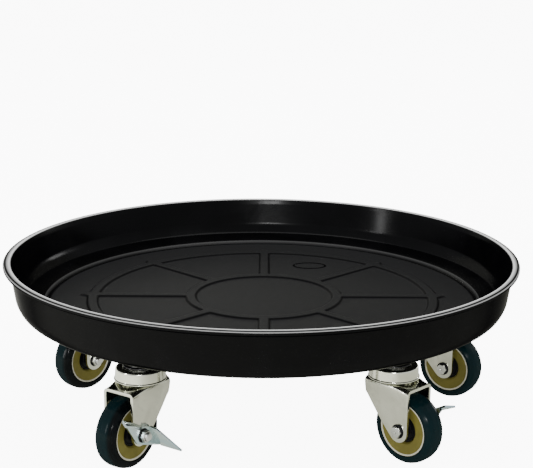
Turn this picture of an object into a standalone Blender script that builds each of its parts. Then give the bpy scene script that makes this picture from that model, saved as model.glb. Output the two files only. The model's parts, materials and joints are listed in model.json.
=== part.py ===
"""Plant pot caddy: a round moulded tray that rolls on five swivel casters.

The model's origin is on the ground under the middle of the tray, +Z is up and lengths are metres.
Each caster is built once in its own frame and then placed five times. In that frame the swivel
axis is the Z axis, the wheel trails towards +X and the axle runs along Y.
"""
from math import asin, atan2, cos, pi, radians, sin, sqrt

import bmesh
import bpy
from mathutils import Matrix, Vector

MM = 0.001
GAP = 0.3 * MM                      # clearance between pieces that touch

# ---- driving dimensions -------------------------------------------------------------------------
RIM_RADIUS = 190 * MM               # outside of the tray's rolled lip
RIM_TOP = 118 * MM                  # lip above the ground
LIP_INNER_RADIUS = 184.3 * MM
TRAY_DEPTH = 34.5 * MM              # lip top down to the floor's upper face
FLOOR_THICKNESS = 2.5 * MM
RIB_HEIGHT = 1.2 * MM
RIB_WIDTH = 9.5 * MM
INNER_RING_RADIUS = 55 * MM         # middle of the small ring rib
OUTER_RING_RADIUS = 127.5 * MM      # middle of the large ring rib
SPOKE_COUNT = 8
ARROW_LENGTH = 7 * MM
TRAY_SEGMENTS = 64

CASTER_CIRCLE_RADIUS = 136 * MM
WHEEL_RADIUS = 25 * MM
TYRE_HALF_WIDTH = 8.5 * MM
CORE_RADIUS = 18.9 * MM
CORE_HALF_WIDTH = 7.6 * MM
BUSH_RADIUS = 9.4 * MM
AXLE_RADIUS = 2.9 * MM
TRAIL = 15 * MM                     # axle behind the swivel axis
SHEET = 2 * MM                      # thickness of the fork's steel
FORK_HALF_WIDTH = 12.6 * MM
FORK_EYE_RADIUS = 7.8 * MM          # rounded leg end around the axle
FORK_FRONT_HEIGHT = 55.4 * MM
FORK_TOP_HEIGHT = 58 * MM
FORK_BACK_REACH = 14 * MM
FORK_BACK_HEIGHT = 47 * MM           # where the upright back edge starts to slant
FORK_FLARE = 1.5 * MM               # extra half-width at the top
DOME_RADIUS = 17.3 * MM
DOME_HEIGHT = 9 * MM
KINGPIN_RADIUS = 4.6 * MM
BOSS_RADIUS = 12 * MM
BOSS_LENGTH = 5.5 * MM
LEVER_THICKNESS = 1.5 * MM

# name, place on the caster circle, heading of the wheel from the swivel axis, whether it has a brake
CASTERS = (
    ("front_left", -127.5, -125, True),
    ("front_right", -49, -45, True),
    ("right", 9, -37, False),
    ("back", 90, 100, False),
    ("left", 163, -132, False),
)

# ---- heights that follow from them --------------------------------------------------------------
FLOOR_TOP = RIM_TOP - TRAY_DEPTH
FLOOR_UNDERSIDE = FLOOR_TOP - FLOOR_THICKNESS
BOSS_BOTTOM = FLOOR_UNDERSIDE - BOSS_LENGTH
DOME_BOTTOM = FORK_TOP_HEIGHT + GAP
DOME_TOP = DOME_BOTTOM + DOME_HEIGHT
RACE_BOTTOM = DOME_TOP + GAP
RACE_TOP = RACE_BOTTOM + 1.5 * MM
NUT_BOTTOM = RACE_TOP + GAP
NUT_TOP = BOSS_BOTTOM - GAP
FORK_FRONT = TRAIL + FORK_EYE_RADIUS
LEVER_INNER = FORK_HALF_WIDTH + GAP
LEVER_OUTER = LEVER_INNER + LEVER_THICKNESS


# ---- tools --------------------------------------------------------------------------------------
def clear_scene():
    """Remove every object that the start-up scene holds."""
    for item in list(bpy.data.objects):
        bpy.data.objects.remove(item, do_unlink=True)


def make_material(name, color, roughness, metallic):
    """Principled material with one colour."""
    material = bpy.data.materials.new(name)
    material.use_nodes = True
    shader = material.node_tree.nodes["Principled BSDF"]
    shader.inputs["Base Color"].default_value = (*color, 1.0)
    shader.inputs["Roughness"].default_value = roughness
    shader.inputs["Metallic"].default_value = metallic
    return material


def finish_mesh(bm, name, sharp_angle=35):
    """Turn a bmesh into a mesh with outward faces and smooth shading between sharp edges."""
    bmesh.ops.recalc_face_normals(bm, faces=bm.faces)
    mesh = bpy.data.meshes.new(name)
    bm.to_mesh(mesh)
    bm.free()
    mesh.shade_smooth()
    mesh.set_sharp_from_angle(angle=radians(sharp_angle))
    return mesh


def turned_mesh(name, profile, segments):
    """Turn a closed profile of (radius, height) points about Z; a zero radius makes a pole."""
    bm = bmesh.new()
    rings = []
    for radius, height in profile:
        count = segments if radius > 0 else 1
        ring = []
        for step in range(count):
            angle = 2 * pi * step / segments
            ring.append(bm.verts.new((radius * cos(angle), radius * sin(angle), height)))
        rings.append(ring)
    has_pole = any(len(ring) == 1 for ring in rings)
    pairs = list(zip(rings, rings[1:]))
    if not has_pole:
        pairs.append((rings[-1], rings[0]))
    for lower, upper in pairs:
        for step in range(segments):
            after = (step + 1) % segments
            corners = [lower[step % len(lower)], lower[after % len(lower)],
                       upper[after % len(upper)], upper[step % len(upper)]]
            bm.faces.new(list(dict.fromkeys(corners)))
    return finish_mesh(bm, name)


def prism_mesh(name, outline, low, high):
    """Extrude an outline of (x, y) points from one height to another."""
    bm = bmesh.new()
    bottom = [bm.verts.new((x, y, low)) for x, y in outline]
    top = [bm.verts.new((x, y, high)) for x, y in outline]
    bm.faces.new(bottom)
    bm.faces.new(top)
    count = len(outline)
    for step in range(count):
        after = (step + 1) % count
        bm.faces.new((bottom[step], bottom[after], top[after], top[step]))
    return finish_mesh(bm, name)


def polygon(radius, count, turn=0.0):
    """Points of a regular polygon with its corners at a radius."""
    return [(radius * cos(turn + 2 * pi * k / count), radius * sin(turn + 2 * pi * k / count))
            for k in range(count)]


def along_axle(mesh):
    """Turn a mesh made about Z so that its Z axis becomes the axle's Y axis."""
    mesh.transform(Matrix.Rotation(-pi / 2, 4, "X"))
    return mesh


def combined(name, base, others, operation):
    """Mesh of a base solid with other solids joined to it or cut from it."""
    body = bpy.data.objects.new(name, base)
    bpy.context.collection.objects.link(body)
    helpers = []
    for mesh in others:
        helper = bpy.data.objects.new(mesh.name, mesh)
        helper.hide_render = True
        helper.display_type = "WIRE"
        bpy.context.collection.objects.link(helper)
        modifier = body.modifiers.new(mesh.name, "BOOLEAN")
        modifier.operation = operation
        modifier.solver = "EXACT"
        modifier.object = helper
        helpers.append(helper)
    evaluated = body.evaluated_get(bpy.context.evaluated_depsgraph_get())
    result = bpy.data.meshes.new_from_object(evaluated)
    for item in [body] + helpers:
        bpy.data.objects.remove(item, do_unlink=True)
    result.name = name
    result.shade_smooth()
    result.set_sharp_from_angle(angle=radians(35))
    return result


def place(name, mesh, material, parent=None):
    """Make one named piece of the caddy from a mesh."""
    piece = bpy.data.objects.new(name, mesh)
    bpy.context.collection.objects.link(piece)
    if not mesh.materials:
        mesh.materials.append(material)
    piece.parent = parent
    return piece


def guide(name, location, turn, parent=None):
    """Empty that carries pieces at a place and a heading."""
    empty = bpy.data.objects.new(name, None)
    empty.location = location
    empty.rotation_euler = (0, 0, turn)
    empty.parent = parent
    bpy.context.collection.objects.link(empty)
    return empty


# ---- tray ---------------------------------------------------------------------------------------
def tray_profile():
    """Section of the tray with its ring ribs, from the middle of the floor and round the wall."""
    top = RIM_TOP
    half_rib = RIB_WIDTH / 2
    slope = 1.4 * MM
    rib_top = FLOOR_TOP + RIB_HEIGHT
    upper = [(0, FLOOR_TOP)]
    for ring in (INNER_RING_RADIUS, OUTER_RING_RADIUS):
        upper += [(ring - half_rib, FLOOR_TOP), (ring - half_rib + slope, rib_top),
                  (ring + half_rib - slope, rib_top), (ring + half_rib, FLOOR_TOP)]
    step = 0.85 * RIM_RADIUS
    wall = [(step - 1.5 * MM, FLOOR_TOP), (step + 1 * MM, FLOOR_TOP + 2.2 * MM),
            (step + 8.5 * MM, top - 29.6 * MM), (174.8 * MM, top - 28.1 * MM),
            (178.8 * MM, top - 23.5 * MM), (181.2 * MM, top - 16 * MM),
            (LIP_INNER_RADIUS - 0.8 * MM, top - 4 * MM)]
    lip = [(LIP_INNER_RADIUS, top - 1 * MM), (185.4 * MM, top), (188.2 * MM, top),
           (189.6 * MM, top - 0.7 * MM), (RIM_RADIUS, top - 1.8 * MM),
           (189.4 * MM, top - 3.2 * MM), (187.6 * MM, top - 3.9 * MM)]
    under = FLOOR_UNDERSIDE
    outside = [(185.4 * MM, top - 4.4 * MM), (184.7 * MM, top - 8 * MM),
               (183.2 * MM, top - 18 * MM), (181.6 * MM, top - 26.5 * MM),
               (179 * MM, top - 31.5 * MM), (174.2 * MM, top - 35.2 * MM), (166 * MM, under),
               (0, under)]
    return upper + wall + lip + outside


def spoke_mesh(index):
    """Raised spoke between the two ring ribs, with an arrow tab past the outer ring."""
    half = RIB_WIDTH / 2
    start = INNER_RING_RADIUS + half - 2 * MM
    end = OUTER_RING_RADIUS + half - 1 * MM
    tip = OUTER_RING_RADIUS + half + ARROW_LENGTH
    outline = [(start, -half), (end, -half), (tip, 0), (end, half), (start, half)]
    mesh = prism_mesh(f"spoke_{index}", outline, FLOOR_TOP - 1 * MM, FLOOR_TOP + RIB_HEIGHT - 0.1 * MM)
    mesh.transform(Matrix.Rotation(2 * pi * index / SPOKE_COUNT, 4, "Z"))
    return mesh


def caster_place(angle):
    """Point on the caster circle, in the ground plane."""
    return Vector((CASTER_CIRCLE_RADIUS * cos(angle), CASTER_CIRCLE_RADIUS * sin(angle), 0))


def build_tray(material):
    """Round tray with ribs on its floor and a hollow boss under it for each caster's stem."""
    tray = turned_mesh("tray", tray_profile(), TRAY_SEGMENTS)
    added = [spoke_mesh(index) for index in range(SPOKE_COUNT)]
    holes = []
    for name, angle, _, _ in CASTERS:
        move = Matrix.Translation(caster_place(radians(angle)))
        boss = prism_mesh(f"boss_{name}", polygon(BOSS_RADIUS, 14), BOSS_BOTTOM,
                          FLOOR_UNDERSIDE + 0.8 * MM)
        boss.transform(move)
        added.append(boss)
        hole = prism_mesh(f"hole_{name}", polygon(KINGPIN_RADIUS + GAP, 12), BOSS_BOTTOM - 5 * MM,
                          FLOOR_UNDERSIDE)
        hole.transform(move)
        holes.append(hole)
    tray = combined("tray", tray, added, "UNION")
    place("tray", combined("tray", tray, holes, "DIFFERENCE"), material)


# ---- parts of one caster ------------------------------------------------------------------------
def stem_mesh():
    """Kingpin: riveted head under the fork, round shank, threaded end up inside the boss."""
    head = 5.6 * MM
    plate_bottom = FORK_TOP_HEIGHT - SHEET
    profile = [(0, plate_bottom - 2.4 * MM), (head - 0.8 * MM, plate_bottom - 2.4 * MM),
               (head, plate_bottom - 1.6 * MM), (head, plate_bottom - GAP),
               (KINGPIN_RADIUS, plate_bottom - GAP), (KINGPIN_RADIUS, FLOOR_UNDERSIDE - 1.2 * MM),
               (KINGPIN_RADIUS - 0.8 * MM, FLOOR_UNDERSIDE - 0.4 * MM),
               (0, FLOOR_UNDERSIDE - 0.4 * MM)]
    return turned_mesh("stem", profile, 12)


def nut_mesh():
    """Hexagonal lock nut between the upper race and the boss."""
    bore = KINGPIN_RADIUS + GAP
    nut = prism_mesh("lock_nut", polygon(9 * MM, 6), NUT_BOTTOM, NUT_TOP)
    hole = prism_mesh("nut_bore", polygon(bore, 12), NUT_BOTTOM - 1 * MM, NUT_TOP + 1 * MM)
    return combined("lock_nut", nut, [hole], "DIFFERENCE")


def race_mesh():
    """Upper race: a dished washer that stays with the stem."""
    bore = KINGPIN_RADIUS + GAP
    profile = [(bore, RACE_BOTTOM), (11.4 * MM, RACE_BOTTOM), (12 * MM, RACE_BOTTOM + 0.5 * MM),
               (10.6 * MM, RACE_TOP), (bore, RACE_TOP)]
    return turned_mesh("upper_race", profile, 14)


def dome_mesh():
    """Pressed swivel dome: a cup turned upside down with a small brim and a hole for the kingpin."""
    bore = KINGPIN_RADIUS + GAP
    wall = 1.6 * MM
    profile = [(DOME_RADIUS - wall, DOME_BOTTOM), (DOME_RADIUS + 0.6 * MM, DOME_BOTTOM),
               (DOME_RADIUS - 0.1 * MM, DOME_BOTTOM + 1.2 * MM),
               (DOME_RADIUS - 0.9 * MM, DOME_TOP - 2.1 * MM), (DOME_RADIUS - 3.4 * MM, DOME_TOP),
               (bore, DOME_TOP), (bore, DOME_TOP - wall),
               (DOME_RADIUS - 4.2 * MM, DOME_TOP - wall), (DOME_RADIUS - 2.6 * MM, DOME_TOP - 3 * MM)]
    return turned_mesh("dome", profile, 20)


def balls_mesh():
    """Ring of bearing balls inside the dome, as one turned ring."""
    middle = 10.5 * MM
    size = 1.9 * MM
    height = DOME_BOTTOM + GAP + size
    profile = [(middle + x, height + z) for x, z in polygon(size, 6, pi / 6)]
    return turned_mesh("ball_ring", profile, 8)


def back_edge_tangent():
    """Where the fork's straight back edge meets the round leg end, and that edge's top point."""
    top = Vector((-FORK_BACK_REACH, FORK_BACK_HEIGHT))
    eye = Vector((TRAIL, WHEEL_RADIUS))
    to_eye = eye - top
    angle = atan2(to_eye.y, to_eye.x) - asin(FORK_EYE_RADIUS / to_eye.length)
    length = sqrt(to_eye.length ** 2 - FORK_EYE_RADIUS ** 2)
    return top, top + length * Vector((cos(angle), sin(angle)))


def leg_bottom(x):
    """Height of the fork leg's lower edge at a distance from the swivel axis."""
    top, tangent = back_edge_tangent()
    if x < tangent.x:
        share = (x - top.x) / (tangent.x - top.x)
        bulge = 1 * MM * sin(pi * share)
        return top.y + (tangent.y - top.y) * share - bulge
    rise = max(0.0, FORK_EYE_RADIUS ** 2 - (x - TRAIL) ** 2)
    return WHEEL_RADIUS - sqrt(rise)


def smooth_step(value):
    """Ease from 0 to 1."""
    value = min(1.0, max(0.0, value))
    return value * value * (3 - 2 * value)


def plate_height(x):
    """Height of the fork's top plate: it rises from the front edge to the dome."""
    rise = smooth_step((FORK_FRONT - x) / (15 * MM))
    return FORK_FRONT_HEIGHT + (FORK_TOP_HEIGHT - FORK_FRONT_HEIGHT) * rise


def leg_reach(x, z):
    """Outer half-width of the fork: legs flare a little at the top, towards the dome."""
    upward = smooth_step((z - 44 * MM) / (11 * MM))
    backward = smooth_step((FORK_FRONT - 2 * MM - x) / (18 * MM))
    return FORK_HALF_WIDTH + FORK_FLARE * upward * backward


def fork_section(x):
    """Closed cross-section of the fork at a station along the caster's length."""
    low = leg_bottom(x)
    top = plate_height(x)
    bend = 3 * MM
    side_heights = [low, low + (top - bend - low) * 0.55, top - bend]
    outer = [(leg_reach(x, z), z) for z in side_heights]
    inner = [(y - SHEET, z) for y, z in outer]
    reach = leg_reach(x, top)
    for angle in (pi / 4, pi / 2):
        outer.append((reach - bend + bend * cos(angle), top - bend + bend * sin(angle)))
        inner.append((reach - bend + (bend - SHEET) * cos(angle),
                      top - bend + (bend - SHEET) * sin(angle)))
    outer += [(-y, z) for y, z in reversed(outer)]
    inner += [(-y, z) for y, z in reversed(inner)]
    return outer + inner[::-1]


def fork_mesh():
    """Fork pressed from one sheet: a top plate and two legs that end round the axle."""
    _, tangent = back_edge_tangent()
    stations = [-FORK_BACK_REACH, -9 * MM, -3 * MM, 4 * MM, tangent.x]
    for angle in (115, 85, 55, 28, 0):
        x = TRAIL + FORK_EYE_RADIUS * cos(radians(angle))
        if x > stations[-1] + 0.5 * MM:
            stations.append(x)
    bm = bmesh.new()
    rings = []
    for x in stations:
        rings.append([bm.verts.new((x, y, z)) for y, z in fork_section(x)])
    count = len(rings[0])
    for back, front in zip(rings, rings[1:]):
        for step in range(count):
            after = (step + 1) % count
            bm.faces.new((back[step], back[after], front[after], front[step]))
    half = count // 2
    for ring in (rings[0], rings[-1]):
        for step in range(half - 1):
            bm.faces.new((ring[step], ring[step + 1], ring[count - 2 - step], ring[count - 1 - step]))
    fork = finish_mesh(bm, "fork")
    pin_hole = prism_mesh("pin_hole", polygon(KINGPIN_RADIUS + GAP, 12), FORK_TOP_HEIGHT - 6 * MM,
                          FORK_TOP_HEIGHT + 4 * MM)
    reach = FORK_HALF_WIDTH + 3 * MM
    axle_hole = along_axle(prism_mesh("axle_hole", polygon(AXLE_RADIUS + GAP, 10), -reach, reach))
    axle_hole.transform(Matrix.Translation((TRAIL, 0, WHEEL_RADIUS)))
    return combined("fork", fork, [pin_hole, axle_hole], "DIFFERENCE")


def axle_mesh(nut_end):
    """Axle bolt: a hexagonal head outside one leg and a shank through the wheel."""
    head_inner = -(FORK_HALF_WIDTH + GAP)
    head = prism_mesh("axle_head", polygon(4.2 * MM, 6, pi / 6), head_inner - 2.8 * MM, head_inner)
    shank = prism_mesh("axle_shank", polygon(AXLE_RADIUS, 10), head_inner - 1 * MM, nut_end)
    return along_axle(combined("axle", head, [shank], "UNION"))


def axle_nut_mesh(inner):
    """Nut with a round flange on the free end of the axle."""
    outer = inner + 3.6 * MM
    nut = prism_mesh("axle_nut", polygon(4.3 * MM, 6), inner + 0.6 * MM, outer)
    flange = prism_mesh("axle_flange", polygon(4.8 * MM, 12), inner, inner + 1 * MM)
    bore = prism_mesh("axle_nut_bore", polygon(AXLE_RADIUS + GAP, 10), inner - 1 * MM, outer + 1 * MM)
    whole = combined("axle_nut", nut, [flange], "UNION")
    return along_axle(combined("axle_nut", whole, [bore], "DIFFERENCE"))


def tyre_mesh():
    """Soft tyre with rounded shoulders."""
    inner = CORE_RADIUS + GAP
    side = TYRE_HALF_WIDTH
    half = [(inner, side - 0.4 * MM), (22 * MM, side), (24.2 * MM, side - 2.4 * MM),
            (WHEEL_RADIUS, side - 5.2 * MM)]
    profile = half + [(radius, -height) for radius, height in reversed(half)]
    return along_axle(turned_mesh("tyre", profile, 24))


def core_mesh():
    """Wheel core: a rim ring on each face and a thinner web between them."""
    bore = BUSH_RADIUS + GAP
    face = CORE_HALF_WIDTH
    half = [(bore, face - 2.2 * MM), (bore + 1.2 * MM, face - 0.7 * MM),
            (CORE_RADIUS - 1.2 * MM, face), (CORE_RADIUS, face)]
    profile = half + [(radius, -height) for radius, height in reversed(half)]
    return along_axle(turned_mesh("core", profile, 16))


def bush_mesh():
    """Bearing bush in the middle of the core, with a spacer that reaches to the fork's legs."""
    bore = AXLE_RADIUS + GAP
    reach = FORK_HALF_WIDTH - SHEET - 0.4 * MM
    half = [(bore, reach), (5 * MM, reach), (5 * MM, 4.6 * MM), (BUSH_RADIUS, 4.2 * MM)]
    profile = half + [(radius, -height) for radius, height in reversed(half)]
    return along_axle(turned_mesh("bush", profile, 12))


def slab_mesh(name, corners, thickness):
    """Flat slab around a polygon of 3-D points, half its thickness to each side."""
    normal = (corners[1] - corners[0]).cross(corners[-1] - corners[0]).normalized()
    bm = bmesh.new()
    sides = []
    for shift in (-thickness / 2, thickness / 2):
        sides.append([bm.verts.new(point + normal * shift) for point in corners])
    bm.faces.new(sides[0])
    bm.faces.new(sides[1])
    count = len(corners)
    for step in range(count):
        after = (step + 1) % count
        bm.faces.new((sides[0][step], sides[0][after], sides[1][after], sides[1][step]))
    return finish_mesh(bm, name)


def lever_mesh():
    """Brake lever: a plate on the axle with two wings whose edges are folded outwards."""
    flat = LEVER_INNER + LEVER_THICKNESS / 2
    tip = Vector((34.5, 0, 41.5)) * MM
    crown = Vector((17, 0, 32)) * MM
    fold_top = Vector((7, 0, 28.6)) * MM
    fold_bottom = Vector((-4, 0, 11.5)) * MM
    heel = Vector((21, 0, 20.5)) * MM
    outline = [tip, crown, fold_top, fold_bottom, heel]
    plate = along_axle(prism_mesh("lever_plate", [(point.x, -point.z) for point in outline],
                                  LEVER_INNER, LEVER_OUTER))
    root = Vector((0, flat, 0))
    flange = slab_mesh("lever_flange", [tip + root, crown + root,
                                        crown + root + Vector((1.4, 2.3, -0.35)) * MM,
                                        tip + root + Vector((4, 6.5, -1)) * MM], LEVER_THICKNESS)
    pedal = slab_mesh("lever_pedal", [fold_bottom + root, fold_top + root,
                                      fold_top + root + Vector((-1.1, 4.5, -1)) * MM,
                                      fold_bottom + root + Vector((-2.5, 16, -1.4)) * MM],
                      LEVER_THICKNESS)
    hole = along_axle(prism_mesh("lever_hole", polygon(AXLE_RADIUS + GAP, 10), LEVER_INNER - 4 * MM,
                                 LEVER_OUTER + 4 * MM))
    hole.transform(Matrix.Translation((TRAIL, 0, WHEEL_RADIUS)))
    lever = combined("brake_lever", plate, [flange, pedal], "UNION")
    lever = combined("brake_lever", lever, [hole], "DIFFERENCE")
    lever.transform(Matrix.Translation((-TRAIL, 0, -WHEEL_RADIUS)))
    return lever


# ---- the whole caddy ----------------------------------------------------------------------------
def build_casters(paint):
    """Place the casters' pieces; casters without a brake have a shorter axle."""
    stem = stem_mesh()
    lock_nut = nut_mesh()
    race = race_mesh()
    dome = dome_mesh()
    balls = balls_mesh()
    fork = fork_mesh()
    tyre = tyre_mesh()
    core = core_mesh()
    bush = bush_mesh()
    plain_nut = LEVER_INNER
    braked_nut = LEVER_OUTER + GAP
    free_end = 5.2 * MM
    plain_axle = [axle_mesh(plain_nut + free_end), axle_nut_mesh(plain_nut)]
    braked_axle = [axle_mesh(braked_nut + free_end), axle_nut_mesh(braked_nut), lever_mesh()]
    for name, angle, heading, braked in CASTERS:
        axle_pieces = braked_axle if braked else plain_axle
        swivel = guide(f"swivel_axis_{name}", caster_place(radians(angle)), radians(heading))
        place(f"stem_{name}", stem, paint["zinc"], swivel)
        place(f"lock_nut_{name}", lock_nut, paint["zinc"], swivel)
        place(f"upper_race_{name}", race, paint["zinc"], swivel)
        place(f"dome_{name}", dome, paint["chrome"], swivel)
        place(f"ball_ring_{name}", balls, paint["zinc"], swivel)
        place(f"fork_{name}", fork, paint["chrome"], swivel)
        axle = guide(f"axle_axis_{name}", (TRAIL, 0, WHEEL_RADIUS), 0, swivel)
        place(f"axle_{name}", axle_pieces[0], paint["zinc"], axle)
        place(f"axle_nut_{name}", axle_pieces[1], paint["zinc"], axle)
        place(f"tyre_{name}", tyre, paint["tyre"], axle)
        place(f"core_{name}", core, paint["core"], axle)
        place(f"bush_{name}", bush, paint["bush"], axle)
        if braked:
            place(f"brake_lever_{name}", axle_pieces[2], paint["lever"], axle)


def build():
    """Build the caddy."""
    clear_scene()
    paint = {
        "tray": make_material("gloss_black_plastic", (0.012, 0.012, 0.013), 0.22, 0.0),
        "chrome": make_material("bright_steel", (0.72, 0.73, 0.70), 0.16, 1.0),
        "zinc": make_material("zinc_steel", (0.62, 0.64, 0.66), 0.3, 1.0),
        "tyre": make_material("dark_teal_tyre", (0.010, 0.028, 0.034), 0.35, 0.0),
        "core": make_material("olive_core", (0.20, 0.17, 0.055), 0.45, 0.0),
        "bush": make_material("black_bush", (0.012, 0.012, 0.014), 0.4, 0.0),
        "lever": make_material("blue_zinc_lever", (0.45, 0.56, 0.60), 0.25, 1.0),
    }
    build_tray(paint["tray"])
    build_casters(paint)


build()
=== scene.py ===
"""Plant pot caddy: a gloss black moulded tray on five swivel casters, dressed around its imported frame.

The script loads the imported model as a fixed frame, builds every visible piece in the frame's own
coordinates (metres, +Z up, origin on the ground under the tray) and hands each one to the frame.
"""
from __future__ import annotations

import json
import logging
import math
from dataclasses import dataclass, field
from enum import Enum
from typing import Iterable, Sequence

import bmesh
import bpy
from mathutils import Matrix, Vector

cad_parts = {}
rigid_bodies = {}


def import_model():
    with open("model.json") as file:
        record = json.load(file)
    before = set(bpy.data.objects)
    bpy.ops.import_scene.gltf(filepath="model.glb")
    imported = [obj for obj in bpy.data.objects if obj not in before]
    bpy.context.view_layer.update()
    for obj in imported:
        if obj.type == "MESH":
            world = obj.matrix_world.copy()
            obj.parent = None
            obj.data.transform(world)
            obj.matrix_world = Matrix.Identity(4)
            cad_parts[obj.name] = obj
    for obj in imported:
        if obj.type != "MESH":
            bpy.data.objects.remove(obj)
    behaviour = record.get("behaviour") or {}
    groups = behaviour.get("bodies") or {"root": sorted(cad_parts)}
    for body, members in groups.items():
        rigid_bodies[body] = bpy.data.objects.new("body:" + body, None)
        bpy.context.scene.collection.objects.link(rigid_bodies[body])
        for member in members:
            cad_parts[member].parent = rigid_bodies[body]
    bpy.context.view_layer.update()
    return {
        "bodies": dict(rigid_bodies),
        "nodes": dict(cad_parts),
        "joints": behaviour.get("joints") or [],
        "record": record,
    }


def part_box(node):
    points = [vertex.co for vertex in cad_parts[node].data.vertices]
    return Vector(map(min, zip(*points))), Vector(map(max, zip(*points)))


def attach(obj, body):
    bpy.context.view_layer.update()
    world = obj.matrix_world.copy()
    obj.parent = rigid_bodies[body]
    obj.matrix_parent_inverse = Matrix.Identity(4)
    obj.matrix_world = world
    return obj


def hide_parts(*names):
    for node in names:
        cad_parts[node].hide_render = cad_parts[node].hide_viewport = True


MM = 0.001
RIM_RADIUS = 190 * MM
RIM_TOP = 118 * MM
CASTER_TRAIL = 15 * MM
AXLE_HEIGHT = 25 * MM
PIN_BORE = 4.9 * MM
AXLE_BORE = 3.2 * MM
FORK_TOP = 58 * MM
SHEET = 2 * MM
log = logging.getLogger("caddy")

Point = tuple[float, float]
Corner = tuple[float, float, float]
Color = tuple[float, float, float]


class Slot(Enum):
    """Material slots of the record."""

    TRAY = "tray"
    BRIGHT_STEEL = "bright_steel"
    ZINC_STEEL = "zinc_steel"
    TYRE = "tyre"
    CORE = "wheel_core"
    BUSH = "bush"
    LEVER = "brake_lever"


class BrakeSide(Enum):
    """Side of the wheel that carries the brake lever, along the axle."""

    NONE = 0
    LEFT = 1
    RIGHT = -1


# ---- shader node helpers ------------------------------------------------------------------------
class NodeBuilder:
    """Small helper that adds and links nodes in one node tree."""

    def __init__(self, tree: bpy.types.NodeTree) -> None:
        """Keep the tree that nodes are added to."""
        self.tree = tree

    def add(self, kind: str, inputs: dict | None = None, **settings: object) -> bpy.types.Node:
        """Add a node, set its properties and fill or link its inputs.

        Args:
            kind: Blender's node type name.
            inputs: socket name or index to a value, or to another node's output socket.
            settings: node properties.

        Returns:
            The new node.
        """
        node = self.tree.nodes.new(kind)
        for key, value in settings.items():
            setattr(node, key, value)
        for key, value in (inputs or {}).items():
            if isinstance(value, bpy.types.NodeSocket):
                self.tree.links.new(value, node.inputs[key])
            else:
                node.inputs[key].default_value = value
        return node

    def math(self, operation: str, first: object, second: object = 0.0) -> bpy.types.NodeSocket:
        """Add a Math node and return its output."""
        return self.add("ShaderNodeMath", {0: first, 1: second}, operation=operation).outputs[0]

    def span(self, value: object, low: float, high: float, to_low: float = 0.0,
             to_high: float = 1.0) -> bpy.types.NodeSocket:
        """Map a value smoothly from one range to another and return the output."""
        node = self.add("ShaderNodeMapRange", {"Value": value, "From Min": low, "From Max": high,
                                               "To Min": to_low, "To Max": to_high},
                        interpolation_type="SMOOTHSTEP")
        return node.outputs["Result"]

    def mix(self, share: object, first: object, second: object) -> bpy.types.NodeSocket:
        """Mix two colours by a share and return the output.

        Args:
            share: how much of the second colour.
            first: a colour or an output socket.
            second: a colour or an output socket.

        Returns:
            The mixed colour's socket.
        """
        node = self.add("ShaderNodeMix", data_type="RGBA")
        for index, value in ((0, share), (6, first), (7, second)):
            if isinstance(value, bpy.types.NodeSocket):
                self.tree.links.new(value, node.inputs[index])
            else:
                node.inputs[index].default_value = value
        return node.outputs[2]


def new_shader_group(name: str, inputs: Sequence[tuple[str, str, object]],
                     outputs: Sequence[tuple[str, str]]) -> tuple[bpy.types.NodeTree, NodeBuilder]:
    """Make an empty shader node group with named sockets.

    Args:
        name: the group's name.
        inputs: name, socket type and default value of each input.
        outputs: name and socket type of each output.

    Returns:
        The group and a builder for its nodes.
    """
    group = bpy.data.node_groups.new(name, "ShaderNodeTree")
    for label, kind, value in inputs:
        socket = group.interface.new_socket(name=label, in_out="INPUT", socket_type=kind)
        socket.default_value = value
    for label, kind in outputs:
        group.interface.new_socket(name=label, in_out="OUTPUT", socket_type=kind)
    return group, NodeBuilder(group)


FLOAT = "NodeSocketFloat"
COLOR = "NodeSocketColor"
VECTOR = "NodeSocketVector"


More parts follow.
